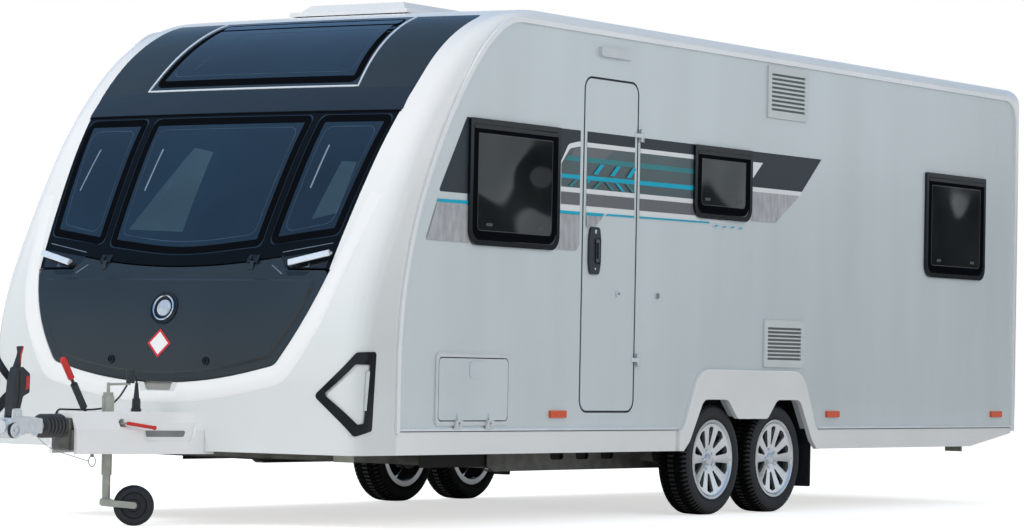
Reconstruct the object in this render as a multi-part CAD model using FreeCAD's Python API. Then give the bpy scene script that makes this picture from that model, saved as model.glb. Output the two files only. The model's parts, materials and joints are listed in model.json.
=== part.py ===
"""Twin-axle travel caravan: body panels, chassis, running gear, hitch, doors and lids.

Millimetres.  +Z is up, the ground is z = 0, the hitch points to -Y and the entrance
door is on the +X side.  The origin is on the ground, half way along the overall length.
Stations are measured back from the nose: y = NOSE_Y + station.
"""
import FreeCAD, Part
import math
import os

Vec = FreeCAD.Vector

# ------------------------------------------------------------------ overall sizes
BODY_WIDTH = 2240.0          # across the two flat side walls
BODY_LENGTH = 7200.0         # nose to rear wall
ROOF_HEIGHT = 2570.0         # ground to roof skin
HITCH_REACH = 1135.0         # nose to the front of the coupling
REAR_PROUD = 30.0            # bumper behind the rear wall
WALL = 35.0                  # every wall, door and lid is one sandwich panel
CORNER_RADIUS = 100.0        # front, rear and roof edges of the body
BOW_RADIUS = 9100.0          # the nose is slightly bowed in plan
RUN_GAP = 5.0                # between a moving piece and what it closes
SEAT = 0.3                   # between separate solids that only rest on each other

# ------------------------------------------------------------------ levels of the body
SEAM_Z = 463.0               # foot of the side walls
SKIRT_Z = 350.0              # foot of skirts and nose
FLOOR_Z = 430.0              # underside of the floor
FLOOR_THICK = 45.0
REAR_FOOT_Z = 440.0          # foot of the rear panel
NOSE_TURN_Z = 653.0          # the nose is upright below this level

NOSE_RISE = ROOF_HEIGHT - NOSE_TURN_Z

# nose outline from there up: radius, slope from upright at its end (degrees)
NOSE_ARCS = [(0.7564 * NOSE_RISE, 25.5), (3.4429 * NOSE_RISE, 30.0), (1.2154 * NOSE_RISE, 45.0)]

# joint between side wall and nose moulding, under the awning rail
RAIL_STATION = 396.0         # its upright foot
RAIL_TURN_Z = 770.0
RAIL_TOP_Z = ROOF_HEIGHT - 72.0
RAIL_RISE = RAIL_TOP_Z - RAIL_TURN_Z
RAIL_ARCS = [(1.1574 * RAIL_RISE, 25.0), (1.5567 * RAIL_RISE, 41.5), (0.5729 * RAIL_RISE, 57.0)]
REAR_RAIL_BACKSET = 133.0    # rear rail to the rear wall
REAR_RAIL_BEND = 150.0
RAIL_WIDE = 26.0
RAIL_PROUD = 13.0

# ------------------------------------------------------------------ openings in the body
DOOR_STATION = 2008.0
DOOR_WIDTH = 537.0           # leaf with its gaps
DOOR_FOOT_Z = 552.0
DOOR_HEIGHT = ROOF_HEIGHT - 853.0
DOOR_CORNER = 70.0
DOOR_HINGE_OUT = 16.0        # hinge line outside the wall face
HINGE_LINE_BACK = 14.0       # hinge line behind the leaf's rear edge

WINDOW_TOP_Z = ROOF_HEIGHT - 585.0
WINDOW_RIM = 26.0
WINDOW_PROUD = 16.0
WINDOW_CORNERS = (12.0, 75.0)      # upper, lower radius
DOOR_SIDE_WINDOWS = [(958.0, 815.0, 619.0), (3113.0, 621.0, 392.0), (5840.0, 799.0, 624.0)]
OFF_SIDE_WINDOWS = [(958.0, 815.0, 619.0), (3113.0, 900.0, 520.0), (5840.0, 799.0, 624.0)]
REAR_WINDOW_WIDE = 1150.0
REAR_WINDOW_TALL = 480.0

HATCH_STATION = 708.0
HATCH_WIDE = 652.0
HATCH_FOOT_Z = 490.0
HATCH_TALL = 350.0
HATCH_RIM = 20.0
HATCH_PROUD = 9.0
HATCH_HINGE_OUT = 9.0        # hinge line outside the frame's face

# vents: station, foot height, width, height, slots
VENTS = [(3900.0, ROOF_HEIGHT - 388.0, 458.0, 288.0, 9), (3903.0, 805.0, 458.0, 260.0, 9)]
VENT_PROUD = 12.0
VENT_SLOT = 13.0

# ------------------------------------------------------------------ nose panels
FRAME_TOP_Z = ROOF_HEIGHT - 50.0         # dark frame round windows and roof light
FRAME_TOP_HALF = 958.0
FRAME_MID_Z = ROOF_HEIGHT - 440.0
FRAME_MID_HALF = 969.0
LID_TOP_Z = 1214.0           # top of the gas locker lid at its corners
LID_CORNER_HALF = 884.0
RECESS_HALF = 660.0          # the recess of each grab handle ends here
SILL_HALF = 600.0
SILL_RISE = 61.0             # the joint climbs to here beside the recess
SILL_DIP = 94.0              # and dips towards the centre line along an arc
SILL_ARC = 3700.0
LID_SIDE_HALF = 815.0        # corners of the lid outline
LID_SIDE_Z = 985.0
LID_LOW_HALF = 668.0
LID_LOW_Z = 768.0
LID_FOOT_CORNER_Z = 607.0
MOULDED_THICK = 22.0         # lid and front panes
LID_CORNER = 24.0            # the lid's top corners are rounded to swing clear
PANE_FOOT_RISE = 112.0       # foot of the panes above the lid's corners
PANE_SIDE_RISE = 55.0        # and how far it climbs to the outer edge
PANE_TOP_Z = ROOF_HEIGHT - 588.0
PANE_TOP_HALF = 938.0
PANE_FOOT_HALF = 880.0
PILLAR_WIDE = 38.0           # between two front panes
PILLAR_TOP_X = 510.0
PILLAR_FOOT_X = 486.0
SUNROOF_FOOT_Z = ROOF_HEIGHT - 424.0
SUNROOF_FOOT_HALF = 630.0
SUNROOF_TOP_Z = ROOF_HEIGHT - 62.0
SUNROOF_TOP_HALF = 575.0
ROOF_LIGHTS = [(1830.0, 330.0, 300.0), (5050.0, 200.0, 200.0)]    # station, half width, half length
LOCKER_DEPTH = 520.0         # gas locker, nose to bulkhead
LID_RAISE = 12.0             # middle of the lid stands above its rim
LID_RIM = 42.0
PULL_HALF = 92.0             # finger recess under the lid's foot
PULL_Z = (634.0, 690.0)
PULL_DEPTH = 16.0

# ------------------------------------------------------------------ running gear
AXLE_MID_STATION = 3765.0
AXLE_SPACING = 688.0
WHEEL_RADIUS = 300.0
WHEEL_WIDE = 185.0
WHEEL_CENTRE_X = BODY_WIDTH / 2.0 - 113.0
RIM_RADIUS = 214.0
ARCH_GAP = 24.0              # tyre to the arch opening
ARCH_PROUD = 26.0
ARCH_DROP_Z = 520.0          # foot of the web between the two openings
ARCH_LIP = 12.0              # moulding overlaps the wall's own opening
ARCH_FOOT_HALF = 778.0       # moulding, half length at its foot
ARCH_LEG_HALF = 735.0        # where its leg leaves the skirt
ARCH_TOP_HALF = 575.0
ARCH_TOP_Z = 787.0
ARCH_TOP_RADIUS = 180.0
ARCH_EDGE = 9.0
SPOKE_PAIRS = 5
HUB_BORE = 30.0
SWING_LENGTH = 165.0         # trailing arm, axle tube to wheel axis
SWING_X = WHEEL_CENTRE_X - 187.0
AXLE_TUBE_Z = 332.0
AXLE_ACROSS = 92.0
RAIL_X = BODY_WIDTH / 2.0 - 370.0        # chassis side member
REAR_RAIL_FOOT_Z = 352.0
RAIL_FOOT_Z = 245.0
RAIL_THICK = 6.0
RAIL_FLANGE = 50.0

# ------------------------------------------------------------------ hitch
BEAM_FRONT_STATION = -700.0
BEAM_FRONT_X = 44.0
BEAM_JOIN_STATION = 1850.0
BEAM_FRONT_Z = 402.0         # mid height of the drawbar beams
BEAM_BACK_Z = 302.0
BEAM_WIDE = 32.0
BEAM_TALL = 90.0
COUPLING_Z = 465.0
DRAWTUBE_RADIUS = 27.0
BALL_STATION = -1086.0
BALL_Z = 446.0
BALL_RADIUS = 25.0
BLOCK_END_STATION = -885.0
BELLOWS_LENGTH = 150.0
BELLOWS_FOLDS = 7
HOUSE_HALF = 48.0            # housing of the draw tube, between the beams
HANDBRAKE_STATION = -492.0
HANDBRAKE_Z = 473.0
HANDBRAKE_TIP_STATION = -700.0
HANDBRAKE_TIP_Z = 768.0
JOCKEY_X = 50.0
JOCKEY_STATION = -431.0
JOCKEY_WHEEL_RADIUS = 95.0
JOCKEY_WHEEL_WIDE = 58.0
JOCKEY_TRAIL = 130.0
JOCKEY_HEADING = 39.6        # direction of the trail, degrees from +X
JOCKEY_TUBE_RADIUS = 24.0
JOCKEY_LEG_RADIUS = 19.0

FAIRING_FRONT_STATION = -690.0
FAIRING_REAR_STATION = 60.0  # it ends inside the notch of the nose
FAIRING_TOP_Z = 533.0
FAIRING_FOOT_Z = 336.0
FAIRING_FRONT_HALF = 82.0
FAIRING_REAR_HALF = RAIL_X * 0.29 + 82.5    # spreads with the drawbar's beams
FAIRING_SHOULDER = (44.0, 84.0)    # its sloping shoulder, across and down
STEP_STATIONS = (-326.0, -22.0)    # step recess in each side
STEP_Z = 395.0
STEP_DEPTH = 18.0
NOTCH_HALF = FAIRING_REAR_HALF - 15.0    # the nose is cut away round the drawbar, under the fairing
NOTCH_Z = 452.0

# ------------------------------------------------------------------ doors, lids and stands
DOOR_CATCH_OFFSET = 199.0    # hold-back knob and receiver, from the hinge line
DOOR_CATCH_Z = 1165.0
DOOR_CATCH_PROUD = 13.0
HANDLE_PROUD = 30.0          # grab handles of the nose, off its surface
HANDLE_WIDE = 32.0
HANDLE_THICK = 13.0
LID_HINGE_X = 450.0
LID_HINGE_Z = 1254.0
LID_HINGE_STAND = 8.0        # hinge line outside the frame's face
STEADY_X = BODY_WIDTH / 2.0 - 270.0
REAR_LAMP_X = BODY_WIDTH / 2.0 - 240.0    # inner edge of each rear lamp
REAR_MARKER_X = BODY_WIDTH / 2.0 - 270.0
STEADY_STATIONS = (760.0, 6420.0)
STEADY_PIVOT_Z = 372.0
STEADY_ARM = 400.0

# ------------------------------------------------------------------ cords: (x, station, z) points
LEAD_DIAMETER = 9.0
PLUG_STATION = -160.0
PLUG_TOP_Z = 668.0
LEAD_POINTS = [(0.0, -160.0, 668.0), (0.0, -164.0, 700.0), (-6.0, -192.0, 704.0), (-14.0, -214.0, 655.0),
               (-26.0, -262.0, 590.0), (-34.0, -335.0, 548.0), (-38.0, -420.0, 539.5), (-37.0, -520.0, 538.5),
               (-39.0, -620.0, 540.0), (-38.0, -703.0, 541.5), (-38.0, -704.0, 499.5)]
CABLE_DIAMETER = 3.5
CABLE_POINTS = [(32.0, -931.0, 428.0), (38.0, -850.0, 368.0), (30.0, -736.0, 341.0), (2.0, -503.0, 299.0)]
RING_RADIUS = 25.0

HALF = BODY_WIDTH / 2.0
NOSE_Y = HITCH_REACH - (HITCH_REACH + BODY_LENGTH + REAR_PROUD) / 2.0
REAR_Y = NOSE_Y + BODY_LENGTH
FLOOR_TOP = FLOOR_Z + FLOOR_THICK
AXLE_YS = [NOSE_Y + AXLE_MID_STATION - AXLE_SPACING / 2.0,
           NOSE_Y + AXLE_MID_STATION + AXLE_SPACING / 2.0]
FAR = 1500.0                 # beyond any face of the body, for cutting tools


# ================================================================== drawing helpers
def lift(plane, u, v, w):
    """Point (u, v) of a plane square to an axis, w along that axis."""
    if plane == "x":
        return Vec(w, u, v)
    if plane == "y":
        return Vec(u, w, v)
    return Vec(u, v, w)


def rounded_wire(corners, plane, level):
    """Closed wire through rows of (u, v, corner radius)."""
    count = len(corners)
    arcs = []
    for i in range(count):
        u, v, radius = corners[i]
        here = Vec(u, v, 0)
        before = Vec(corners[i - 1][0], corners[i - 1][1], 0) - here
        after = Vec(corners[(i + 1) % count][0], corners[(i + 1) % count][1], 0) - here
        before.normalize()
        after.normalize()
        if radius == 0:
            arcs.append((here, None, here))
            continue
        half_angle = before.getAngle(after) / 2.0
        reach = radius / math.tan(half_angle)
        inward = before + after
        inward.normalize()
        middle = here + inward * (radius / math.sin(half_angle) - radius)
        arcs.append((here + before * reach, middle, here + after * reach))
    edges = []
    for i in range(count):
        start, middle, end = arcs[i]
        following = arcs[(i + 1) % count][0]
        if middle is not None:
            points = [lift(plane, p.x, p.y, level) for p in (start, middle, end)]
            edges.append(Part.Arc(*points).toShape())
        if end.distanceToPoint(following) > 0.001:
            run = Part.LineSegment(lift(plane, end.x, end.y, level),
                                   lift(plane, following.x, following.y, level))
            edges.append(run.toShape())
    return Part.Wire(edges)


def prism(corners, plane, low, high):
    """Solid between two levels over an outline of (u, v, corner radius) rows."""
    face = Part.Face(rounded_wire(corners, plane, low))
    return face.extrude(lift(plane, 0, 0, high - low))


def rectangle(u, v, wide, tall, radius=0.0):
    """Rows of a rectangle from its lower corner."""
    return [(u, v, radius), (u + wide, v, radius), (u + wide, v + tall, radius), (u, v + tall, radius)]


def box(x0, x1, y0, y1, z0, z1):
    """Block between two corners."""
    return Part.makeBox(x1 - x0, y1 - y0, z1 - z0, Vec(x0, y0, z0))


def rod(start, end, radius):
    """Round bar between two points."""
    return Part.makeCylinder(radius, (end - start).Length, start, end - start)


def tube(start, end, radius, bore):
    """Round tube between two points."""
    return rod(start, end, radius).cut(rod(start, end, bore))


def revolved(profile, centre, axis):
    """Solid of revolution; profile rows are (distance along the axis, radius)."""
    points = [Vec(r, 0, h) for h, r in profile]
    points.append(points[0])
    solid = Part.Face(Part.makePolygon(points)).revolve(Vec(0, 0, 0), Vec(0, 0, 1), 360)
    solid.Placement = FreeCAD.Placement(centre, FreeCAD.Rotation(Vec(0, 0, 1), axis))
    return solid


def mirrored(shape):
    """The same piece on the other side of the caravan."""
    return shape.mirror(Vec(0, 0, 0), Vec(1, 0, 0))


def pair(shape):
    """A piece and its mirror image."""
    return [shape, mirrored(shape)]


def save(node, *solids):
    """Write one node."""
    shape = solids[0] if len(solids) == 1 else Part.makeCompound(list(solids))
    shape.exportStep("parts/" + node + ".step")


# ================================================================== body envelope
def closing_radius(start_z, arcs, top):
    """Radius of a last arc that ends level at the given height."""
    height = start_z
    sine = 0.0
    for radius, slope in arcs:
        height += radius * (math.sin(math.radians(slope)) - sine)
        sine = math.sin(math.radians(slope))
    return (top - height) / (1.0 - sine)


def climbing_arcs(y, z, arcs, x=0.0, inset=0.0):
    """Tangent arcs that leave an upright line and lean back over it."""
    edges = []
    y += inset
    start = 0.0
    for radius, slope in arcs:
        end = math.radians(slope)
        radius -= inset
        centre_y = y + radius * math.cos(start)
        centre_z = z - radius * math.sin(start)
        turns = (start, (start + end) / 2.0, end)
        points = [Vec(x, centre_y - radius * math.cos(t), centre_z + radius * math.sin(t)) for t in turns]
        edges.append(Part.Arc(*points).toShape())
        y, z, start = points[2].y, points[2].z, end
    return edges


def joined(edges, corners):
    """Closed wire: a chain of edges, then straight runs through the corners back to its start."""
    start = edges[0].Vertexes[0].Point
    points = [edges[-1].Vertexes[-1].Point] + corners + [start]
    runs = [Part.LineSegment(a, b).toShape() for a, b in zip(points[:-1], points[1:])]
    return Part.Wire(edges + runs)


def envelope(inset, foot):
    """Outer form of the body, moved inwards by an inset."""
    half = HALF - inset
    top = ROOF_HEIGHT - inset
    arcs = NOSE_ARCS + [(closing_radius(NOSE_TURN_Z, NOSE_ARCS, ROOF_HEIGHT), 90.0)]
    edges = climbing_arcs(NOSE_Y, NOSE_TURN_Z, arcs, inset=inset)
    blend_y = NOSE_Y + 2200.0
    corners = [Vec(0, blend_y, top), Vec(0, blend_y, foot), Vec(0, NOSE_Y + inset, foot)]
    face = Part.Face(joined(edges, corners))
    axis = Vec(0, NOSE_Y + BOW_RADIUS, 0)
    sweep = 21.0
    face.rotate(axis, Vec(0, 0, 1), -sweep / 2.0)
    nose = face.revolve(axis, Vec(0, 0, 1), sweep)
    nose = nose.common(box(-half, half, NOSE_Y - 100, blend_y + 400, 0, ROOF_HEIGHT + 100))
    cabin = box(-half, half, blend_y - 200, REAR_Y - inset, foot, top)
    body = nose.fuse(cabin).removeSplitter()
    rounded = []
    for edge in body.Edges:
        bound = edge.BoundBox
        on_side = bound.XLength < 1 and abs(abs(bound.Center.x) - half) < 1 and bound.ZMax > foot + 1
        at_rear = bound.YLength < 1 and abs(bound.Center.y - REAR_Y + inset) < 1
        if on_side or (at_rear and abs(bound.Center.z - top) < 1):
            rounded.append(edge)
    return body.makeFillet(CORNER_RADIUS - inset, rounded)


def rail_edges(x):
    """Centre line of the front awning rail, from its foot to the roof."""
    arcs = RAIL_ARCS + [(closing_radius(RAIL_TURN_Z, RAIL_ARCS, RAIL_TOP_Z), 90.0)]
    y = NOSE_Y + RAIL_STATION
    foot = Part.LineSegment(Vec(x, y, SEAM_Z), Vec(x, y, RAIL_TURN_Z)).toShape()
    return [foot] + climbing_arcs(y, RAIL_TURN_Z, arcs, x)


def rear_rail_edges(x):
    """Centre line of the rail along the roof and down the rear corner."""
    front = rail_edges(x)[-1].Vertexes[-1].Point
    y = REAR_Y - REAR_RAIL_BACKSET
    bend = REAR_RAIL_BEND
    before = Vec(x, y - bend, RAIL_TOP_Z)
    after = Vec(x, y, RAIL_TOP_Z - bend)
    middle = Vec(x, y - bend + bend * math.sin(math.pi / 4), RAIL_TOP_Z - bend + bend * math.cos(math.pi / 4))
    return [Part.LineSegment(front, before).toShape(), Part.Arc(before, middle, after).toShape(),
            Part.LineSegment(after, Vec(x, y, SEAM_Z)).toShape()]


def rail_region(edges, corners):
    """Cutting tool right through the body: a rail line closed by corners (y, z)."""
    wire = joined(edges, [Vec(-FAR, y, z) for y, z in corners])
    return Part.Face(wire).extrude(Vec(2 * FAR, 0, 0))


# ================================================================== body panels
def window_rows(y, length, height, inset=0.0):
    """Outline of a side window: square upper corners, round lower ones."""
    upper, lower = WINDOW_CORNERS
    y0, y1 = y + inset, y + length - inset
    z0, z1 = WINDOW_TOP_Z - height + inset, WINDOW_TOP_Z - inset
    lower = lower - inset
    return [(y0, z0, lower), (y1, z0, lower), (y1, z1, upper), (y0, z1, upper)]


def side_wall(windows):
    """Flat side wall between the rails, with its windows cut, at +X."""
    x0 = HALF - WALL
    outline = rail_edges(x0) + rear_rail_edges(x0)
    face = Part.Face(joined(outline, []))
    wall = face.extrude(Vec(WALL, 0, 0))
    for station, length, height in windows:
        rows = window_rows(NOSE_Y + station, length, height, WINDOW_RIM)
        wall = wall.cut(prism(rows, "x", x0 - 10, HALF + 10))
    return wall.cut(prism(arch_rows(ARCH_LIP), "x", x0 - 10, HALF + 10))


def arch_rows(grow):
    """Outline over both wheels with a drop between them, grown by a margin."""
    clear = WHEEL_RADIUS + ARCH_GAP + grow
    top = 2 * WHEEL_RADIUS + ARCH_GAP + grow
    first, second = AXLE_YS
    foot = SKIRT_Z - 150.0
    drop = ARCH_DROP_Z + grow
    inner = AXLE_SPACING * 0.26
    rows = []
    for y, side in ((first, -1), (second, 1)):
        half = [(y + side * (clear + 95), foot, 0), (y + side * (clear + 95), SKIRT_Z - 20, 0),
                (y + side * (clear + 10), SKIRT_Z + 50, 90), (y + side * 190, top, 70),
                (y - side * 70, top, 70), (y - side * inner, drop, 45)]
        rows.append(half if side < 0 else half[::-1])
    return rows[0] + rows[1]


def door_rows(inset):
    """Outline of the entrance door, moved inwards by an inset."""
    y = NOSE_Y + DOOR_STATION + inset
    return rectangle(y, DOOR_FOOT_Z + inset, DOOR_WIDTH - 2 * inset, DOOR_HEIGHT - 2 * inset,
                     DOOR_CORNER - inset)


def hatch_rows(inset):
    """Outline of the storage hatch, moved inwards by an inset."""
    return rectangle(NOSE_Y + HATCH_STATION + inset, HATCH_FOOT_Z + inset, HATCH_WIDE - 2 * inset,
                     HATCH_TALL - 2 * inset, 26.0)


def door_side_wall():
    """Side wall with the entrance, the storage hatch and the vents."""
    wall = side_wall(DOOR_SIDE_WINDOWS)
    wall = wall.cut(prism(door_rows(0), "x", HALF - WALL - 10, HALF + 10))
    wall = wall.cut(prism(hatch_rows(HATCH_RIM), "x", HALF - WALL - 10, HALF + 10))
    for station, foot, wide, tall, _slots in VENTS:
        rows = rectangle(NOSE_Y + station + 25, foot + 25, wide - 50, tall - 50)
        wall = wall.cut(prism(rows, "x", HALF - WALL - 10, HALF + 10))
    return wall


def sill_rows(level, corner=0.0):
    """Joint between dark frame and lid, left to right, with its two handle recesses."""
    return [(-LID_CORNER_HALF, level, corner), (-RECESS_HALF, level, 0), (-SILL_HALF, level + SILL_RISE, 0),
            (0, level + SILL_RISE - SILL_DIP, SILL_ARC), (SILL_HALF, level + SILL_RISE, 0),
            (RECESS_HALF, level, 0), (LID_CORNER_HALF, level, corner)]


def frame_rows(level):
    """Front outline of the dark frame, from a sill at the given level."""
    upper = [(FRAME_MID_HALF, FRAME_MID_Z, 900), (FRAME_TOP_HALF, FRAME_TOP_Z, 30),
             (-FRAME_TOP_HALF, FRAME_TOP_Z, 30), (-FRAME_MID_HALF, FRAME_MID_Z, 900)]
    return sill_rows(level) + upper


def lid_rows(corner=0.0):
    """Front outline of the gas locker lid, with its top corners rounded."""
    lower = [(LID_SIDE_HALF, LID_SIDE_Z, 1200), (LID_LOW_HALF, LID_LOW_Z, 60), (0, LID_FOOT_CORNER_Z, 2400),
             (-LID_LOW_HALF, LID_LOW_Z, 60), (-LID_SIDE_HALF, LID_SIDE_Z, 1200)]
    return sill_rows(LID_TOP_Z, corner) + lower


def nose_back(x, z):
    """How far the nose's surface lies behind its tip, on the lower arc of its outline."""
    radius = NOSE_ARCS[0][0]
    return radius - math.sqrt(radius ** 2 - (z - NOSE_TURN_Z) ** 2) + x ** 2 / (2.0 * BOW_RADIUS)


def front_tool(rows, grow=0.0):
    """Cutting tool that runs back from an outline in front of the nose."""
    wire = rounded_wire(rows, "y", NOSE_Y - 200)
    if grow:
        wire = wire.makeOffset2D(grow)
    return Part.Face(wire).extrude(Vec(0, 2000, 0))


def pane_rows():
    """Outlines of the three front panes and the roof light."""
    top, foot = PANE_TOP_Z, LID_TOP_Z + PANE_FOOT_RISE
    half = PILLAR_WIDE / 2.0
    middle = [(half - PILLAR_FOOT_X, foot, 30), (0, foot - 50, 1800), (PILLAR_FOOT_X - half, foot, 30),
              (PILLAR_TOP_X - half, top, 30), (half - PILLAR_TOP_X, top, 30)]
    side = [(PILLAR_FOOT_X + half, foot + 8, 30), (PANE_FOOT_HALF, foot + PANE_SIDE_RISE, 30),
            (PANE_TOP_HALF, top, 30), (PILLAR_TOP_X + half, top, 30)]
    far = [(-x, z, r) for x, z, r in reversed(side)]
    light = [(-SUNROOF_FOOT_HALF, SUNROOF_FOOT_Z, 15), (SUNROOF_FOOT_HALF, SUNROOF_FOOT_Z, 15),
             (SUNROOF_TOP_HALF, SUNROOF_TOP_Z, 15), (-SUNROOF_TOP_HALF, SUNROOF_TOP_Z, 15)]
    return [middle, side, far, light]


def build_shell():
    """Nose, dark frame, lid, roof, rear, floor and side walls."""
    outer = envelope(0.0, SKIRT_Z)
    inner = envelope(WALL, SKIRT_Z - 100)
    shell = outer.cut(inner)
    front_end = rail_edges(-FAR)[-1].Vertexes[-1].Point
    nose_region = rail_region(rail_edges(-FAR), [
        (front_end.y, ROOF_HEIGHT + 100), (NOSE_Y - 200, ROOF_HEIGHT + 100),
        (NOSE_Y - 200, SKIRT_Z - 10), (NOSE_Y + RAIL_STATION, SKIRT_Z - 10)])
    rear_edges = rear_rail_edges(-FAR)[1:]
    rear_start = rear_edges[0].Vertexes[0].Point
    rear_region = rail_region(rear_edges, [
        (REAR_Y - REAR_RAIL_BACKSET, REAR_FOOT_Z), (REAR_Y + 100, REAR_FOOT_Z),
        (REAR_Y + 100, ROOF_HEIGHT + 100), (rear_start.y, ROOF_HEIGHT + 100)])
    nose_shell = shell.common(nose_region)

    frame = nose_shell.common(front_tool(frame_rows(LID_TOP_Z + RUN_GAP * math.sqrt(2.0))))
    panes = []
    moulded = outer.cut(envelope(MOULDED_THICK, SKIRT_Z - 100))
    for rows in pane_rows():
        tool = front_tool(rows)
        frame = frame.cut(tool)
        panes.append(moulded.common(tool))
    save("front_frame", frame)
    save("front_panes", *panes)

    nose = nose_shell.cut(front_tool(frame_rows(LID_TOP_Z))).cut(front_tool(lid_rows(), RUN_GAP))
    nose = nose.cut(box(-NOTCH_HALF, NOTCH_HALF, NOSE_Y - 100, NOSE_Y + 300, 0, NOTCH_Z))
    pull = prism([(-PULL_HALF, PULL_Z[1], 0), (20 - PULL_HALF, PULL_Z[0], 14), (PULL_HALF - 20, PULL_Z[0], 14),
                  (PULL_HALF, PULL_Z[1], 0)], "y", NOSE_Y - 100, NOSE_Y + PULL_DEPTH)
    save("nose_moulding", nose.cut(pull))
    lid = moulded.common(front_tool(lid_rows(LID_CORNER)))
    lid = lid.fuse(raised_panel(outer))

    roof = shell.common(box(-FAR, FAR, front_end.y, rear_start.y, RAIL_TOP_Z, ROOF_HEIGHT + 100))
    for station, half_wide, half_long in ROOF_LIGHTS:
        y = NOSE_Y + station
        roof = roof.cut(box(-half_wide, half_wide, y - half_long, y + half_long, 2000, 3000))
    save("roof_panel", roof)
    domes = []
    for station, half_wide, half_long in ROOF_LIGHTS:
        y = NOSE_Y + station
        rim = 40.0
        base = box(-half_wide - rim, half_wide + rim, y - half_long - rim, y + half_long + rim,
                   ROOF_HEIGHT, ROOF_HEIGHT + 22)
        dome = box(-half_wide, half_wide, y - half_long, y + half_long, ROOF_HEIGHT, ROOF_HEIGHT + 62)
        dome = dome.makeChamfer(38, dome.Faces[5].Edges)
        domes.append(base.fuse(dome).removeSplitter())
    save("roof_lights", *domes)

    rear = shell.common(rear_region)
    rows = rectangle(-REAR_WINDOW_WIDE / 2, WINDOW_TOP_Z - REAR_WINDOW_TALL, REAR_WINDOW_WIDE,
                     REAR_WINDOW_TALL, 30)
    inner_rows = rectangle(-REAR_WINDOW_WIDE / 2 + WINDOW_RIM, WINDOW_TOP_Z - REAR_WINDOW_TALL + WINDOW_RIM,
                           REAR_WINDOW_WIDE - 2 * WINDOW_RIM, REAR_WINDOW_TALL - 2 * WINDOW_RIM, 20)
    rear = rear.cut(prism(inner_rows, "y", REAR_Y - WALL - 10, REAR_Y + 10))
    bumper = prism([(-1010, REAR_FOOT_Z, 0), (1010, REAR_FOOT_Z, 0), (1010, 560, 40), (-1010, 560, 40)],
                   "y", REAR_Y - WALL / 2, REAR_Y + REAR_PROUD)
    save("rear_panel", rear.fuse(bumper).removeSplitter())
    rear_rim = prism(rows, "y", REAR_Y, REAR_Y + WINDOW_PROUD)
    rear_rim = rear_rim.cut(prism(inner_rows, "y", REAR_Y - 1, REAR_Y + WINDOW_PROUD + 1))
    rear_pane = prism(inner_rows, "y", REAR_Y - 4, REAR_Y + WINDOW_PROUD - 3)

    near = door_side_wall()
    save("door_side_wall", near)
    save("off_side_wall", mirrored(side_wall(OFF_SIDE_WINDOWS)))
    rims = [rear_rim]
    glass = [rear_pane]
    for windows, flip in ((DOOR_SIDE_WINDOWS, False), (OFF_SIDE_WINDOWS, True)):
        for station, length, height in windows:
            y = NOSE_Y + station
            tool = prism(window_rows(y, length, height, WINDOW_RIM), "x", HALF - 4, HALF + WINDOW_PROUD + 1)
            rim = prism(window_rows(y, length, height), "x", HALF, HALF + WINDOW_PROUD).cut(tool)
            pane = prism(window_rows(y, length, height, WINDOW_RIM), "x", HALF - 4, HALF + WINDOW_PROUD - 3)
            rims.append(mirrored(rim) if flip else rim)
            glass.append(mirrored(pane) if flip else pane)
    save("window_rims", *rims)
    save("window_panes", *glass)

    boxes, box_space = wheel_boxes()
    floor = inner.common(box(-FAR, FAR, NOSE_Y, REAR_Y, FLOOR_Z, FLOOR_TOP)).cut(box_space)
    save("floor_panel", floor)
    save("wheel_boxes", *boxes)
    bulkhead = box(-FAR, FAR, NOSE_Y + LOCKER_DEPTH, NOSE_Y + LOCKER_DEPTH + 18, FLOOR_TOP, LID_TOP_Z + 60)
    shelf = box(-FAR, FAR, NOSE_Y, NOSE_Y + LOCKER_DEPTH, LID_TOP_Z + 42, LID_TOP_Z + 60)
    locker = inner.common(bulkhead.fuse(shelf).removeSplitter())
    locker = locker.cut(front_tool(lid_rows(), RUN_GAP).common(box(-FAR, FAR, NOSE_Y - 300, NOSE_Y + 240, 0, 3000)))
    save("gas_locker_walls", locker)
    return outer, lid


def raised_panel(outer):
    """Middle of the lid, which stands above its rim with a bevelled edge."""
    side = [(LID_CORNER_HALF - LID_RIM - 10, LID_TOP_Z - LID_RIM, 24), (LID_SIDE_HALF - LID_RIM, LID_SIDE_Z, 900),
            (LID_LOW_HALF - LID_RIM * 0.8, LID_LOW_Z + LID_RIM * 0.7, 60)]
    foot = (0, LID_FOOT_CORNER_Z + LID_RIM, 2400)
    rows = side + [foot] + [(-x, z, radius) for x, z, radius in reversed(side)]
    tool = prism(rows, "y", NOSE_Y - 200, NOSE_Y + 400)
    panel = envelope(-LID_RAISE, SKIRT_Z).common(tool).cut(outer)
    large = sorted(panel.Faces, key=lambda f: -f.Area)[:2]
    front = min(large, key=lambda f: f.CenterOfMass.y)
    return panel.makeChamfer(LID_RAISE - 1.0, front.Edges)


def wheel_boxes():
    """Inner wheel arches, open below and outside, and the space they take from the floor."""
    y0, y1 = AXLE_YS[0] - WHEEL_RADIUS - 70, AXLE_YS[1] + WHEEL_RADIUS + 70
    x0, x1 = WHEEL_CENTRE_X - WHEEL_WIDE / 2 - 75, HALF - WALL
    top = 2 * WHEEL_RADIUS + 95
    sheet = 6.0
    cover = box(x0, x1, y0, y1, FLOOR_Z, top)
    cover = cover.cut(box(x0 + sheet, x1 + 1, y0 + sheet, y1 - sheet, FLOOR_Z - 1, top - sheet))
    space = box(x0, FAR, y0, y1, FLOOR_Z - 1, FLOOR_TOP + 1)
    return pair(cover), space.fuse(mirrored(space))


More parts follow.
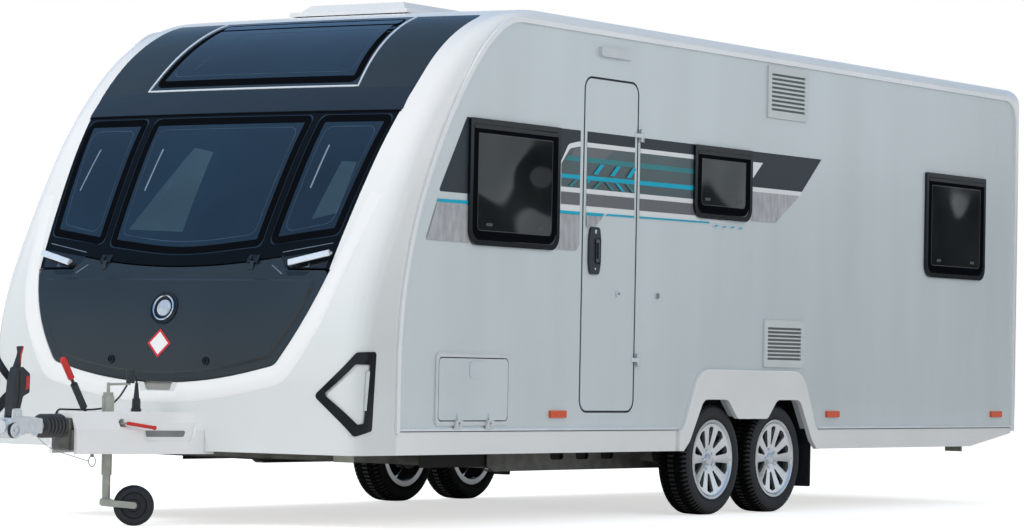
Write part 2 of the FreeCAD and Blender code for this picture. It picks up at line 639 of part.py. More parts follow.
# ================================================================== trim on the body
def build_trim(outer):
    """Rails, skirts, arch mouldings, vents, lamps, corner trims and grab handles."""
    rails = []
    for edges in (rail_edges(HALF), rear_rail_edges(HALF)):
        wire = Part.Wire(edges)
        band = wire.makeOffset2D(RAIL_WIDE / 2)
        rails.append(Part.Face(band).extrude(Vec(RAIL_PROUD, 0, 0)))
    rail = rails[0].fuse(rails[1]).removeSplitter()
    save("awning_rails", *pair(rail))

    mid = (AXLE_YS[0] + AXLE_YS[1]) / 2
    foot0, foot1 = mid - ARCH_FOOT_HALF, mid + ARCH_FOOT_HALF
    half = [(foot0, SKIRT_Z, 0), (foot0, SEAM_Z - 6, 0), (mid - ARCH_LEG_HALF, SEAM_Z + 2, 50),
            (mid - ARCH_TOP_HALF, ARCH_TOP_Z, ARCH_TOP_RADIUS)]
    moulding_rows = half + [(2 * mid - y, z, radius) for y, z, radius in reversed(half)]
    moulding = prism(moulding_rows, "x", HALF, HALF + ARCH_PROUD)
    edges = [e for e in moulding.Edges if e.BoundBox.XMin > HALF + ARCH_PROUD - 1 and e.BoundBox.ZMax > SKIRT_Z + 1]
    moulding = moulding.makeFillet(ARCH_EDGE, edges)
    moulding = moulding.cut(prism(arch_rows(0), "x", HALF - 1, HALF + ARCH_PROUD + 1))
    save("arch_mouldings", *pair(moulding))

    thick = 22.0
    front_y = NOSE_Y + RAIL_STATION
    rear_y = REAR_Y - REAR_RAIL_BACKSET
    front = prism([(front_y, SKIRT_Z, 0), (foot0 - SEAT, SKIRT_Z, 0), (foot0 - SEAT, SEAM_Z - SEAT, 0),
                   (front_y, SEAM_Z - SEAT, 0)], "x", HALF - thick, HALF)
    rear = prism([(foot1 + SEAT, SKIRT_Z, 0), (rear_y - 560, SKIRT_Z, 200), (rear_y, REAR_FOOT_Z - 12, 0),
                  (rear_y, SEAM_Z - SEAT, 0), (foot1 + SEAT, SEAM_Z - SEAT, 0)], "x", HALF - thick, HALF)
    save("side_skirts", *(pair(front) + pair(rear)))

    vents = []
    for station, foot, wide, tall, slots in VENTS:
        y = NOSE_Y + station
        vent = prism(rectangle(y, foot, wide, tall, 12), "x", HALF, HALF + VENT_PROUD)
        pitch = (tall - 2 * 36.0) / slots
        for i in range(slots):
            z = foot + 36.0 + pitch * (i + 0.5) - VENT_SLOT / 2
            vent = vent.cut(box(HALF - 1, HALF + VENT_PROUD + 1, y + 38, y + wide - 38, z, z + VENT_SLOT))
        vents.append(vent)
    save("wall_vents", *vents)

    lamp = prism(rectangle(NOSE_Y + DOOR_STATION + 125, DOOR_FOOT_Z + DOOR_HEIGHT + 108, 320, 48, 20),
                 "x", HALF, HALF + 24)
    save("door_lamp", lamp)

    markers = []
    for station in (1803.0, 4719.0, 6846.0):
        marker = prism(rectangle(NOSE_Y + station - 75, SEAM_Z + 64, 150, 36, 6), "x", HALF, HALF + 13)
        markers += pair(marker)

    band = envelope(-9.0, SKIRT_Z - 100).cut(outer)
    ring = corner_prism([(660, 625, 25), (843, 832, 30), (948, 836, 14), (930, 466, 14), (836, 438, 20)])
    hole = corner_prism([(702, 634, 14), (838, 775, 10), (916, 775, 6), (886, 500, 10), (852, 496, 10)])
    lens = band.common(corner_prism([(893, 745, 4), (912, 745, 4), (897, 560, 4), (885, 560, 4)]))
    trim = band.common(ring).cut(hole).cut(lens)
    save("corner_trims", *pair(trim))
    save("marker_lamps", *markers)
    save("front_reflectors", *pair(lens))
    save("grab_handles", *pair(grab_handle(outer)))
    build_rear_trim()


def grab_handle(outer):
    """Flat bar on two posts over the recess beside the lid, at +X."""
    ends = []
    for x, z in ((LID_CORNER_HALF - 6, LID_TOP_Z + 84), (RECESS_HALF + 10, LID_TOP_Z + 36)):
        ends.append(Vec(x, NOSE_Y + nose_back(x, z) - HANDLE_PROUD, z))
    start, end = ends
    along = end - start
    bar = prism(rectangle(-HANDLE_WIDE / 2, -HANDLE_THICK / 2, HANDLE_WIDE, HANDLE_THICK, 6.0), "z", 0, along.Length)
    bar.Placement = FreeCAD.Placement(start, FreeCAD.Rotation(Vec(-0.3, 0.35, 1.0), Vec(), along, "ZXY"))
    for point in (start + along * 0.06, end - along * 0.08):
        bar = bar.fuse(rod(point, point + Vec(0, 70, 0), 9))
    return bar.cut(outer).removeSplitter()


def corner_prism(rows):
    """Cutting tool square to the front corner, from rows measured along the diagonal."""
    tool = prism(rows, "y", -1100, -300)
    tool.rotate(Vec(0, 0, 0), Vec(0, 0, 1), 45)
    tool.translate(Vec(0, NOSE_Y, 0))
    return tool


def build_rear_trim():
    """Rear lamps."""
    lamps = pair(prism(rectangle(REAR_LAMP_X, 610, 120, 420, 30), "y", REAR_Y, REAR_Y + 28))
    top = prism(rectangle(REAR_MARKER_X, ROOF_HEIGHT - 190, 130, 60, 20), "y", REAR_Y, REAR_Y + 22)
    lamps += pair(top)
    save("rear_lamps", *lamps)


# ================================================================== hinges
def hinge_arm(side, foot, reach, stand, barrel):
    """Profile of a hinge leaf beside its axis: (towards the fixed side, outwards) points."""
    plate = 4.0
    rows = [(1.5, barrel - 0.5), (reach, plate - stand), (reach, -stand), (foot, -stand), (barrel * 0.6, -barrel * 0.6)]
    return [(side * along, out) for along, out in rows]


def hinge(centre, axis, fixed_way, outward, length, stand, barrel, moving_foot):
    """Pin hinge in three knuckles: the fixed outer two with the pin, and the moving one.

    fixed_way points from the axis to the fixed side, outward off the surface; stand is the
    height of the axis above it and moving_foot the distance from the axis to the moving leaf.
    """
    third = length / 3.0
    pin_radius = barrel * 0.5
    reach = moving_foot + 30.0
    start = centre - axis * (length / 2.0)
    low = start + axis * third
    high = low + axis * third
    end = high + axis * third

    def leaf(side, foot, begin, extent):
        points = [begin + fixed_way * along + outward * out
                  for along, out in hinge_arm(side, foot, reach, stand, barrel)]
        return Part.Face(Part.makePolygon(points + [points[0]])).extrude(axis * extent)

    moving = leaf(-1, moving_foot, low + axis * SEAT, third - 2 * SEAT)
    moving = moving.fuse(rod(low + axis * SEAT, high - axis * SEAT, barrel))
    moving = moving.cut(rod(start, end, pin_radius + SEAT))
    fixed = rod(start, low, barrel).fuse(rod(high, end, barrel)).fuse(rod(start, end, pin_radius))
    fixed = fixed.fuse(leaf(1, 2.0, start, third)).fuse(leaf(1, 2.0, high, third))
    tie = [centre - axis * (length / 2.0) + fixed_way * along + outward * out
           for along, out in ((barrel + 6, -stand), (reach, -stand), (reach, 4.0 - stand), (barrel + 6, 4.0 - stand))]
    fixed = fixed.fuse(Part.Face(Part.makePolygon(tie + [tie[0]])).extrude(axis * length))
    return fixed.removeSplitter(), moving.removeSplitter()


def build_door():
    """Entrance door, its handle and hinges."""
    leaf = prism(door_rows(RUN_GAP), "x", HALF - WALL, HALF)
    leaf_rear = NOSE_Y + DOOR_STATION + DOOR_WIDTH - RUN_GAP
    x = HALF + DOOR_HINGE_OUT
    y = leaf_rear + HINGE_LINE_BACK
    fixed_parts = []
    for height in (0.16, 0.84):
        z = DOOR_FOOT_Z + height * DOOR_HEIGHT
        fixed, moving = hinge(Vec(x, y, z), Vec(0, 0, 1), Vec(0, 1, 0), Vec(1, 0, 0), 66.0,
                              DOOR_HINGE_OUT, 7.0, HINGE_LINE_BACK + 2)
        fixed_parts.append(fixed)
        leaf = leaf.fuse(moving)
    for offset in (DOOR_CATCH_OFFSET, -DOOR_CATCH_OFFSET):
        foot = Vec(HALF, y + offset, DOOR_CATCH_Z)
        knob = rod(foot, foot + Vec(DOOR_CATCH_PROUD, 0, 0), 15)
        if offset > 0:
            fixed_parts.append(knob)
        else:
            leaf = leaf.fuse(knob)
    save("door_leaf", leaf.removeSplitter())
    y, z = NOSE_Y + DOOR_STATION + 57.0, 1258.0
    plate = prism([(y + 14, z, 22), (y + 98, z, 22), (y + 112, z + 60, 90), (y + 112, z + 182, 90),
                   (y + 98, z + 242, 22), (y + 14, z + 242, 22), (y, z + 182, 90), (y, z + 60, 90)],
                  "x", HALF, HALF + 13)
    plate = plate.cut(prism(rectangle(y + 50, z + 52, 54, 134, 12), "x", HALF + 4, HALF + 14))
    grip = prism(rectangle(y + 56, z + 60, 30, 118, 10), "x", HALF + 4, HALF + 19)
    grip = grip.cut(prism(rectangle(y + 62, z + 78, 19, 82, 5), "x", HALF + 12, HALF + 20))
    save("door_handle", plate.fuse(grip).removeSplitter())
    return fixed_parts


def build_lid(lid, outer):
    """Gas locker lid with its two hinges."""
    lean = math.asin((LID_HINGE_Z - NOSE_TURN_Z) / NOSE_ARCS[0][0])
    outward = Vec(0, -math.cos(lean), math.sin(lean))
    upward = Vec(0, math.sin(lean), math.cos(lean))
    back = nose_back(LID_HINGE_X, LID_HINGE_Z) - LID_HINGE_STAND * math.cos(lean)
    fixed_parts = []
    for side in (-1, 1):
        centre = Vec(side * LID_HINGE_X, NOSE_Y + back, LID_HINGE_Z)
        fixed, moving = hinge(centre, Vec(1, 0, 0), upward, outward, 66.0, LID_HINGE_STAND, 5.0, RUN_GAP + 4)
        fixed_parts.append(fixed.cut(outer))
        lid = lid.fuse(moving)
    save("gas_locker_lid", lid.removeSplitter())
    return fixed_parts


def build_hatch():
    """Storage hatch: fixed frame, leaf and two hinges at its foot."""
    frame = prism(hatch_rows(0), "x", HALF, HALF + HATCH_PROUD)
    frame = frame.cut(prism(hatch_rows(HATCH_RIM), "x", HALF - 1, HALF + HATCH_PROUD + 1))
    leaf = prism(hatch_rows(HATCH_RIM + RUN_GAP), "x", HALF - WALL + 6, HALF + HATCH_PROUD)
    y0 = NOSE_Y + HATCH_STATION
    for offset in (0.29, 0.71):
        centre = Vec(HALF + HATCH_PROUD + HATCH_HINGE_OUT, y0 + offset * HATCH_WIDE, HATCH_FOOT_Z + HATCH_RIM)
        fixed, moving = hinge(centre, Vec(0, 1, 0), Vec(0, 0, -1), Vec(1, 0, 0), 60.0, HATCH_HINGE_OUT, 6.0,
                              RUN_GAP + 2)
        frame = frame.fuse(fixed)
        leaf = leaf.fuse(moving)
    lock = prism(rectangle(y0 + HATCH_WIDE * 0.435, HATCH_FOOT_Z + HATCH_TALL - 122, 142, 84, 20),
                 "x", HALF + HATCH_PROUD - 1, HALF + HATCH_PROUD + 6)
    save("hatch_frame", frame.removeSplitter())
    save("storage_hatch", leaf.fuse(lock).removeSplitter())


# ================================================================== wheels and axles
def along_x(profile, x, y, z):
    """Solid of revolution about an axis along X; rows are (distance along +X, radius)."""
    return revolved(profile, Vec(x, y, z), Vec(1, 0, 0))


def wheel_rim():
    """Spoked alloy wheel with its hub and drum, centred on the origin, outer face at +X."""
    half = WHEEL_WIDE / 2.0
    edge = RIM_RADIUS
    well = edge - 30.0
    barrel = along_x([(-half + 8, well), (-half + 8, edge), (-half + 18, edge), (-half + 22, edge - 8),
                      (half - 22, edge - 8), (half - 18, edge), (half - 6, edge), (half - 6, edge - 12),
                      (half - 14, edge - 18), (half - 24, well + 4), (-half + 20, well + 4), (-half + 12, well)],
                     0, 0, 0)
    face = along_x([(half - 62, 0), (half - 62, 60), (half - 46, 78), (half - 30, well + 8), (half - 12, well + 8),
                    (half - 30, 70), (half - 34, 34), (half - 34, 0)], 0, 0, 0)
    for i in range(SPOKE_PAIRS):
        for turn, wide in ((0.0, 27.0), (0.5, 19.0)):
            angle = (i + turn) * 360.0 / SPOKE_PAIRS
            rows = [(76, -wide * 0.30, 5), (170, -wide * 1.22, 9), (182, 0, 30), (170, wide * 1.22, 9),
                    (76, wide * 0.30, 5)]
            window = prism(rows, "z", -half, half)
            window.rotate(Vec(0, 0, 0), Vec(0, 1, 0), 90)
            window.rotate(Vec(0, 0, 0), Vec(1, 0, 0), angle)
            face = face.cut(window)
    hub = along_x([(-half - 8, HUB_BORE), (-half - 8, 104), (-half + 44, 104), (-half + 48, 66), (half - 60, 62),
                   (half - 60, HUB_BORE)], 0, 0, 0)
    rim = barrel.fuse(face).fuse(hub).removeSplitter()
    return rim


def wheel_tyre():
    """Tyre centred on the origin."""
    half = WHEEL_WIDE / 2.0
    bead = RIM_RADIUS - 8 + SEAT
    outer = WHEEL_RADIUS
    rows = [(-half + 24, bead), (-half + 22.4, bead), (-half + 18.4, RIM_RADIUS + SEAT), (-half + 4, RIM_RADIUS + 10),
            (-half, outer - 48), (-half + 8, outer - 20), (-half + 28, outer - 3), (0, outer),
            (half - 28, outer - 3), (half - 8, outer - 20), (half, outer - 48), (half - 4, RIM_RADIUS + 10),
            (half - 18.4, RIM_RADIUS + SEAT), (half - 22.4, bead), (half - 24, bead)]
    inner = [(half - 24, bead + 12), (half - 14, outer - 50), (half - 36, outer - 16), (-half + 36, outer - 16),
             (-half + 14, outer - 50), (-half + 24, bead + 12)]
    return along_x(rows + inner, 0, 0, 0)


def placed(shape, x, y, z, flip):
    """Copy of a wheel piece at its hub, turned about for the off side."""
    piece = shape.copy()
    if flip:
        piece.rotate(Vec(0, 0, 0), Vec(0, 0, 1), 180)
    piece.translate(Vec(x, y, z))
    return piece


def build_wheels():
    """Four road wheels, each a rim and a tyre."""
    rim = wheel_rim()
    tyre = wheel_tyre()
    for row, y in zip(("front", "rear"), AXLE_YS):
        for side, sign in (("near", 1), ("off", -1)):
            x = sign * WHEEL_CENTRE_X
            save("rim_" + row + "_" + side, placed(rim, x, y, WHEEL_RADIUS, sign < 0))
            save("tyre_" + row + "_" + side, placed(tyre, x, y, WHEEL_RADIUS, sign < 0))


def hex_bar(x0, x1, y, z, across):
    """Hexagonal bar along X."""
    reach = across / math.sqrt(3.0)
    rows = [(y + reach * math.cos(math.radians(60 * i)), z + reach * math.sin(math.radians(60 * i)), 0)
            for i in range(6)]
    return prism(rows, "x", x0, x1)


def build_axles():
    """Hexagonal axle tubes with trailing arms, stub axles and brake backplates."""
    for name, y in zip(("axle_front", "axle_rear"), AXLE_YS):
        tube_y = y - SWING_LENGTH
        axle = hex_bar(-SWING_X, SWING_X, tube_y, AXLE_TUBE_Z, AXLE_ACROSS)
        inside = WHEEL_CENTRE_X - WHEEL_WIDE / 2.0
        for sign in (-1, 1):
            arm_rows = [(tube_y - 52, AXLE_TUBE_Z - 48, 40), (y + 42, WHEEL_RADIUS - 36, 32),
                        (y + 42, WHEEL_RADIUS + 36, 32), (tube_y - 52, AXLE_TUBE_Z + 48, 40)]
            x0, x1 = sorted((sign * (SWING_X - 20), sign * (SWING_X + 22)))
            axle = axle.fuse(prism(arm_rows, "x", x0, x1))
            hub = Vec(sign * SWING_X, y, WHEEL_RADIUS)
            tip = Vec(sign * (WHEEL_CENTRE_X + WHEEL_WIDE / 2.0 - 68), y, WHEEL_RADIUS)
            axle = axle.fuse(rod(hub, tip, HUB_BORE - SEAT))
            plate0 = Vec(sign * (inside - 24), y, WHEEL_RADIUS)
            plate1 = Vec(sign * (inside - 13), y, WHEEL_RADIUS)
            axle = axle.fuse(rod(plate0, plate1, 112))
            axle = axle.fuse(rod(hub, plate1, 46))
        save(name, axle.removeSplitter())


def build_chassis():
    """Side members, drawbar beams and cross members."""
    y_join = NOSE_Y + BEAM_JOIN_STATION
    y_step = AXLE_YS[1] + 260
    y_end = REAR_Y - 300
    top = FLOOR_Z - SEAT
    web_rows = [(y_join - 120, RAIL_FOOT_Z + 30, 0), (y_join - 60, RAIL_FOOT_Z, 20), (y_step, RAIL_FOOT_Z, 60),
                (y_step + 260, REAR_RAIL_FOOT_Z, 60), (y_end, REAR_RAIL_FOOT_Z, 0), (y_end, top, 0),
                (y_join - 120, top, 0)]
    member = prism(web_rows, "x", RAIL_X - RAIL_FLANGE, RAIL_X + RAIL_THICK)
    hollow = [(y_join - 200, RAIL_FOOT_Z + 30 + RAIL_THICK, 0), (y_join - 58, RAIL_FOOT_Z + RAIL_THICK, 0),
              (y_step - 4, RAIL_FOOT_Z + RAIL_THICK, 60), (y_step + 256, REAR_RAIL_FOOT_Z + RAIL_THICK, 60),
              (y_end + 10, REAR_RAIL_FOOT_Z + RAIL_THICK, 0), (y_end + 10, top - RAIL_THICK, 0),
              (y_join - 200, top - RAIL_THICK, 0)]
    member = member.cut(prism(hollow, "x", RAIL_X - RAIL_FLANGE - 1, RAIL_X))
    for i in range(3):
        rows = rectangle(y_join + 470 + 250 * i, RAIL_FOOT_Z + 55, 130, 48, 20)
        member = member.cut(prism(rows, "x", RAIL_X - 1, RAIL_X + RAIL_THICK + 1))
    for y in AXLE_YS:
        member = member.cut(hex_bar(RAIL_X - RAIL_FLANGE - 1, RAIL_X + RAIL_THICK + 1, y - SWING_LENGTH,
                                    AXLE_TUBE_Z, AXLE_ACROSS + 2 * SEAT))
    frame = member.fuse(mirrored(member))
    for y, foot in ((y_join, 330.0), (y_step + 300, REAR_RAIL_FOOT_Z + 10), (y_end - 60, REAR_RAIL_FOOT_Z + 10)):
        cross = box(-RAIL_X, RAIL_X, y, y + 50, foot, top)
        cross = cross.cut(box(-RAIL_X + 60, RAIL_X - 60, y + RAIL_THICK, y + 51, foot + RAIL_THICK, top - RAIL_THICK))
        frame = frame.fuse(cross)
    frame = frame.fuse(drawbar_beam(1)).fuse(drawbar_beam(-1))
    front_y = NOSE_Y + BEAM_FRONT_STATION
    house = prism([(front_y - 10, BEAM_FRONT_Z - 50, 12), (front_y + 150, BEAM_FRONT_Z - 50, 12),
                   (front_y + 150, BEAM_FRONT_Z + 44, 12), (front_y + 60, COUPLING_Z + 34, 20),
                   (front_y - 10, COUPLING_Z + 34, 12)], "x", -HOUSE_HALF, HOUSE_HALF)
    bore = rod(Vec(0, NOSE_Y + BEAM_FRONT_STATION - 20, COUPLING_Z),
               Vec(0, NOSE_Y + BEAM_FRONT_STATION + 200, COUPLING_Z), DRAWTUBE_RADIUS + SEAT)
    frame = frame.fuse(house).cut(bore)
    save("chassis_frame", frame.removeSplitter())


def drawbar_beam(side):
    """One sloping beam of the drawbar."""
    front = Vec(side * BEAM_FRONT_X, NOSE_Y + BEAM_FRONT_STATION, BEAM_FRONT_Z)
    back = Vec(side * RAIL_X, NOSE_Y + BEAM_JOIN_STATION + 30, BEAM_BACK_Z)
    half = BEAM_WIDE / 2.0
    tall = BEAM_TALL / 2.0
    section = [front + Vec(-half, 0, -tall), front + Vec(half, 0, -tall), front + Vec(half, 0, tall),
               front + Vec(-half, 0, tall), front + Vec(-half, 0, -tall)]
    return Part.Face(Part.makePolygon(section)).extrude(back - front)


def build_flaps():
    """Mud flaps behind the rear wheels."""
    y = AXLE_YS[1] + WHEEL_RADIUS + 76
    flap = prism(rectangle(WHEEL_CENTRE_X - 100, 138, 205, FLOOR_Z - SEAT - 138, 10), "y", y, y + 8)
    save("mud_flaps", *pair(flap))


# ================================================================== corner steadies
def build_steadies():
    """Four folding corner steadies with their brackets."""
    brackets = []
    for row, station, heading in (("front", STEADY_STATIONS[0], -1), ("rear", STEADY_STATIONS[1], 1)):
        y = NOSE_Y + station
        pivot = Vec(STEADY_X, y, STEADY_PIVOT_Z)
        half = 28.0
        cheeks = []
        for x in (STEADY_X - half - 6, STEADY_X + half):
            rows = [(y - 38, STEADY_PIVOT_Z - 26, 20), (y + 38, STEADY_PIVOT_Z - 26, 20),
                    (y + 52, FLOOR_Z - SEAT - 5, 0), (y - 52, FLOOR_Z - SEAT - 5, 0)]
            cheeks.append(prism(rows, "x", x, x + 6))
        plate = box(STEADY_X - half - 6, STEADY_X + half + 6, y - 60, y + 60, FLOOR_Z - SEAT - 6, FLOOR_Z - SEAT)
        pin = rod(pivot - Vec(half + 6, 0, 0), pivot + Vec(half + 6, 0, 0), 8)
        bracket = plate.fuse(cheeks[0]).fuse(cheeks[1]).fuse(pin).removeSplitter()
        arm_half = half - RUN_GAP
        end = y + heading * STEADY_ARM
        rows = [(y - heading * 18, STEADY_PIVOT_Z - 17, 12), (end, STEADY_PIVOT_Z - 17, 8),
                (end, STEADY_PIVOT_Z + 3, 4), (y + heading * 60, STEADY_PIVOT_Z + 17, 10),
                (y - heading * 18, STEADY_PIVOT_Z + 17, 12)]
        arm = prism(rows, "x", STEADY_X - arm_half, STEADY_X + arm_half)
        y0, y1 = sorted((y + heading * 40, end + heading))
        arm = arm.cut(box(STEADY_X - arm_half + 5, STEADY_X + arm_half - 5, y0, y1,
                          STEADY_PIVOT_Z - 11, STEADY_PIVOT_Z + 30))
        arm = arm.cut(rod(pivot - Vec(half, 0, 0), pivot + Vec(half, 0, 0), 8 + SEAT))
        foot_y0, foot_y1 = sorted((end - heading * 2, end + heading * 14))
        foot = prism([(foot_y0, STEADY_PIVOT_Z - 62, 0), (foot_y1, STEADY_PIVOT_Z - 62, 0),
                      (foot_y1, STEADY_PIVOT_Z + 20, 0), (foot_y0, STEADY_PIVOT_Z + 20, 0)],
                     "x", STEADY_X - 55, STEADY_X + 55)
        arm = arm.fuse(foot).removeSplitter()
        brackets += pair(bracket)
        save("steady_" + row + "_near", arm)
        save("steady_" + row + "_off", mirrored(arm))
    save("steady_brackets", *brackets)


# ================================================================== hitch
def build_hitch(outer):
    """Fairing, coupling, bellows, levers and jockey wheel."""
    fairing = fairing_solid(0.0).cut(fairing_solid(5.0)).cut(outer)
    clear = rod(Vec(JOCKEY_X, jockey_y(), 200), Vec(JOCKEY_X, jockey_y(), 700), JOCKEY_TUBE_RADIUS + 7)
    fairing = fairing.cut(clear)
    slot = box(JOCKEY_X + 75, JOCKEY_X + 130, jockey_y() - 20, jockey_y() + 14, 462, 500)
    fairing = fairing.cut(slot)
    front_y = NOSE_Y + BEAM_FRONT_STATION
    wide = BEAM_FRONT_X + BEAM_WIDE / 2 + 5
    mouth = prism([(-wide, FAIRING_FOOT_Z - 20, 0), (wide, FAIRING_FOOT_Z - 20, 0),
                   (wide, BEAM_FRONT_Z + BEAM_TALL / 2 + 1, 0), (HOUSE_HALF + 4, COUPLING_Z + 38, 12),
                   (-HOUSE_HALF - 4, COUPLING_Z + 38, 12), (-wide, BEAM_FRONT_Z + BEAM_TALL / 2 + 1, 0)],
                  "y", front_y - 60, front_y + 60)
    fairing = fairing.cut(mouth)
    lever_base = Vec(0, NOSE_Y + HANDBRAKE_STATION, HANDBRAKE_Z)
    fairing = fairing.cut(box(-14, 14, lever_base.y - 70, lever_base.y - 12, HANDBRAKE_Z, FAIRING_TOP_Z + 40))
    save("hitch_fairing", fairing.removeSplitter())

    start_y = NOSE_Y + BEAM_FRONT_STATION
    drawtube = rod(Vec(0, NOSE_Y - 980, COUPLING_Z), Vec(0, start_y + 150, COUPLING_Z), DRAWTUBE_RADIUS)
    ball = Vec(0, NOSE_Y + BALL_STATION, BALL_Z)
    head = Part.makeSphere(44, ball).fuse(rod(ball, ball - Vec(0, 0, 26), 44))
    neck = Part.makeCone(40, 36, 100, ball + Vec(0, 6, COUPLING_Z - BALL_Z - 6), Vec(0, 1, 0))
    block_end = NOSE_Y + BLOCK_END_STATION
    block = prism([(ball.y - 18, COUPLING_Z - 34, 10), (block_end, COUPLING_Z - 34, 10),
                   (block_end, COUPLING_Z + 34, 10), (ball.y + 110, COUPLING_Z + 44, 14),
                   (ball.y - 18, COUPLING_Z + 36, 14)], "x", -40, 40)
    eye_y = NOSE_Y + CABLE_POINTS[0][1]
    block = block.fuse(rod(Vec(20, eye_y, CABLE_POINTS[0][2]), Vec(44, eye_y, CABLE_POINTS[0][2]), 9))
    nose_ring = rod(Vec(0, NOSE_Y - HITCH_REACH, COUPLING_Z - 2), Vec(0, ball.y - 10, COUPLING_Z - 2), 34)
    head = head.fuse(neck).fuse(block).fuse(nose_ring)
    fork = prism(station_rows([(-1086, 470, 0), (-1016, 470, 0), (-1022, 545, 10), (-1078, 545, 10)]), "x", -33, 33)
    head = head.fuse(fork.cut(box(-22 - SEAT, 22 + SEAT, -FAR * 4, 0, COUPLING_Z + 30, 600)))
    for side in (-1, 1):
        pad = rod(ball + Vec(side * 30, 0, 0), ball + Vec(side * 58, 0, 0), 34)
        cap = rod(ball + Vec(side * 50, 0, 0), ball + Vec(side * 59, 0, 0), 23)
        head = head.fuse(pad.cut(cap).fuse(rod(ball, ball + Vec(side * 54, 0, 0), 9)))
    socket = Part.makeSphere(BALL_RADIUS + SEAT, ball).fuse(
        rod(ball, ball - Vec(0, 0, 60), BALL_RADIUS + SEAT))
    head = head.cut(socket).fuse(drawtube.cut(rod(ball - Vec(0, 0, 80), ball + Vec(0, 0, 10), BALL_RADIUS)))
    head = head.removeSplitter()
    save("coupling_head", head)

    folds = [(0.0, DRAWTUBE_RADIUS + SEAT)]
    pitch = BELLOWS_LENGTH / BELLOWS_FOLDS
    for i in range(BELLOWS_FOLDS):
        folds += [(pitch * i, 42.0), (pitch * (i + 0.5), 56.0)]
    folds += [(BELLOWS_LENGTH, 42.0), (BELLOWS_LENGTH, DRAWTUBE_RADIUS + SEAT)]
    bellows = revolved(folds, Vec(0, start_y - 10 - SEAT - BELLOWS_LENGTH, COUPLING_Z), Vec(0, 1, 0))
    save("bellows", bellows)

    stem = prism(station_rows([(-1052, 690, 0), (-1006, 690, 0), (-1013, 729, 20), (-1008, 788, 20),
                               (-993, 829, 5), (-1023, 829, 8), (-1014, 797, 20), (-1047, 728, 30)]), "x", -11, 11)
    body = prism(station_rows([(-1071, 505, 10), (-1034, 505, 10), (-1005, 600, 12), (-960, 618, 12),
                               (-960, 704, 14), (-1008, 734, 14), (-1046, 734, 16), (-1068, 671, 60),
                               (-1081, 555, 60)]), "x", -22, 22)
    save("coupling_handle", stem.fuse(body).cut(head).removeSplitter())

    save("red_grips", build_handbrake(lever_base), build_jockey())


def station_rows(rows):
    """Rows of (y, z, radius) from rows of (station, z, radius)."""
    return [(NOSE_Y + station, z, radius) for station, z, radius in rows]


def build_handbrake(foot):
    """Handbrake lever with its strut, on a bracket between the drawbar beams; returns its grip."""
    tip = Vec(0, NOSE_Y + HANDBRAKE_TIP_STATION, HANDBRAKE_TIP_Z)
    whole = tip - foot
    lever = rod(foot, foot + whole * 0.72, 8).fuse(rod(foot + whole * 0.26, foot + whole * 0.63, 17))
    grip_foot = foot + whole * 0.72
    grip = rod(grip_foot, tip, 16).fuse(Part.makeSphere(16, tip)).removeSplitter()
    lever = lever.fuse(rod(foot - Vec(24, 0, 4), foot + Vec(24, 0, -4), 20))
    bracket = box(-84, 84, foot.y - 20, foot.y + 20, foot.z - 60, foot.z - 22)
    for side in (-1, 1):
        bracket = bracket.cut(drawbar_beam(side))
    save("handbrake_lever", lever.fuse(bracket).removeSplitter())
    return grip


def jockey_y():
    """Y of the jockey wheel's tube."""
    return NOSE_Y + JOCKEY_STATION


def fairing_solid(inset):
    """Drawbar fairing: narrow in front, with sloping shoulders; moved inwards by an inset."""
    sections = []
    for station, half in ((FAIRING_FRONT_STATION + inset, FAIRING_FRONT_HALF),
                          (FAIRING_REAR_STATION, FAIRING_REAR_HALF)):
        y = NOSE_Y + station
        wide = half - inset
        top = FAIRING_TOP_Z - inset
        across, down = FAIRING_SHOULDER
        shoulder = top - down
        flat = wide - across
        points = [(-wide, FAIRING_FOOT_Z - inset), (wide, FAIRING_FOOT_Z - inset), (wide, shoulder), (flat, top),
                  (-flat, top), (-wide, shoulder)]
        loop = [Vec(x, y, z) for x, z in points]
        sections.append(Part.makePolygon(loop + [loop[0]]))
    return Part.makeLoft(sections, True, True).cut(step_recess(1, inset)).cut(step_recess(-1, inset))


def step_recess(side, grow):
    """Space of the step recess in one side of the fairing."""
    taper = math.atan2(FAIRING_REAR_HALF - FAIRING_FRONT_HALF, FAIRING_REAR_STATION - FAIRING_FRONT_STATION)
    first, last = [(station - FAIRING_FRONT_STATION) / math.cos(taper) for station in STEP_STATIONS]
    tool = prism([(first - grow, STEP_Z - grow, 10), (last - 40 + grow, STEP_Z - grow, 25),
                  (last + grow, FAIRING_TOP_Z, 0), (first - 12 - grow, FAIRING_TOP_Z, 0)],
                 "x", -STEP_DEPTH - grow, 90)
    tool.rotate(Vec(0, 0, 0), Vec(0, 0, 1), -math.degrees(taper))
    tool.translate(Vec(FAIRING_FRONT_HALF, NOSE_Y + FAIRING_FRONT_STATION, 0))
    return tool if side > 0 else mirrored(tool)


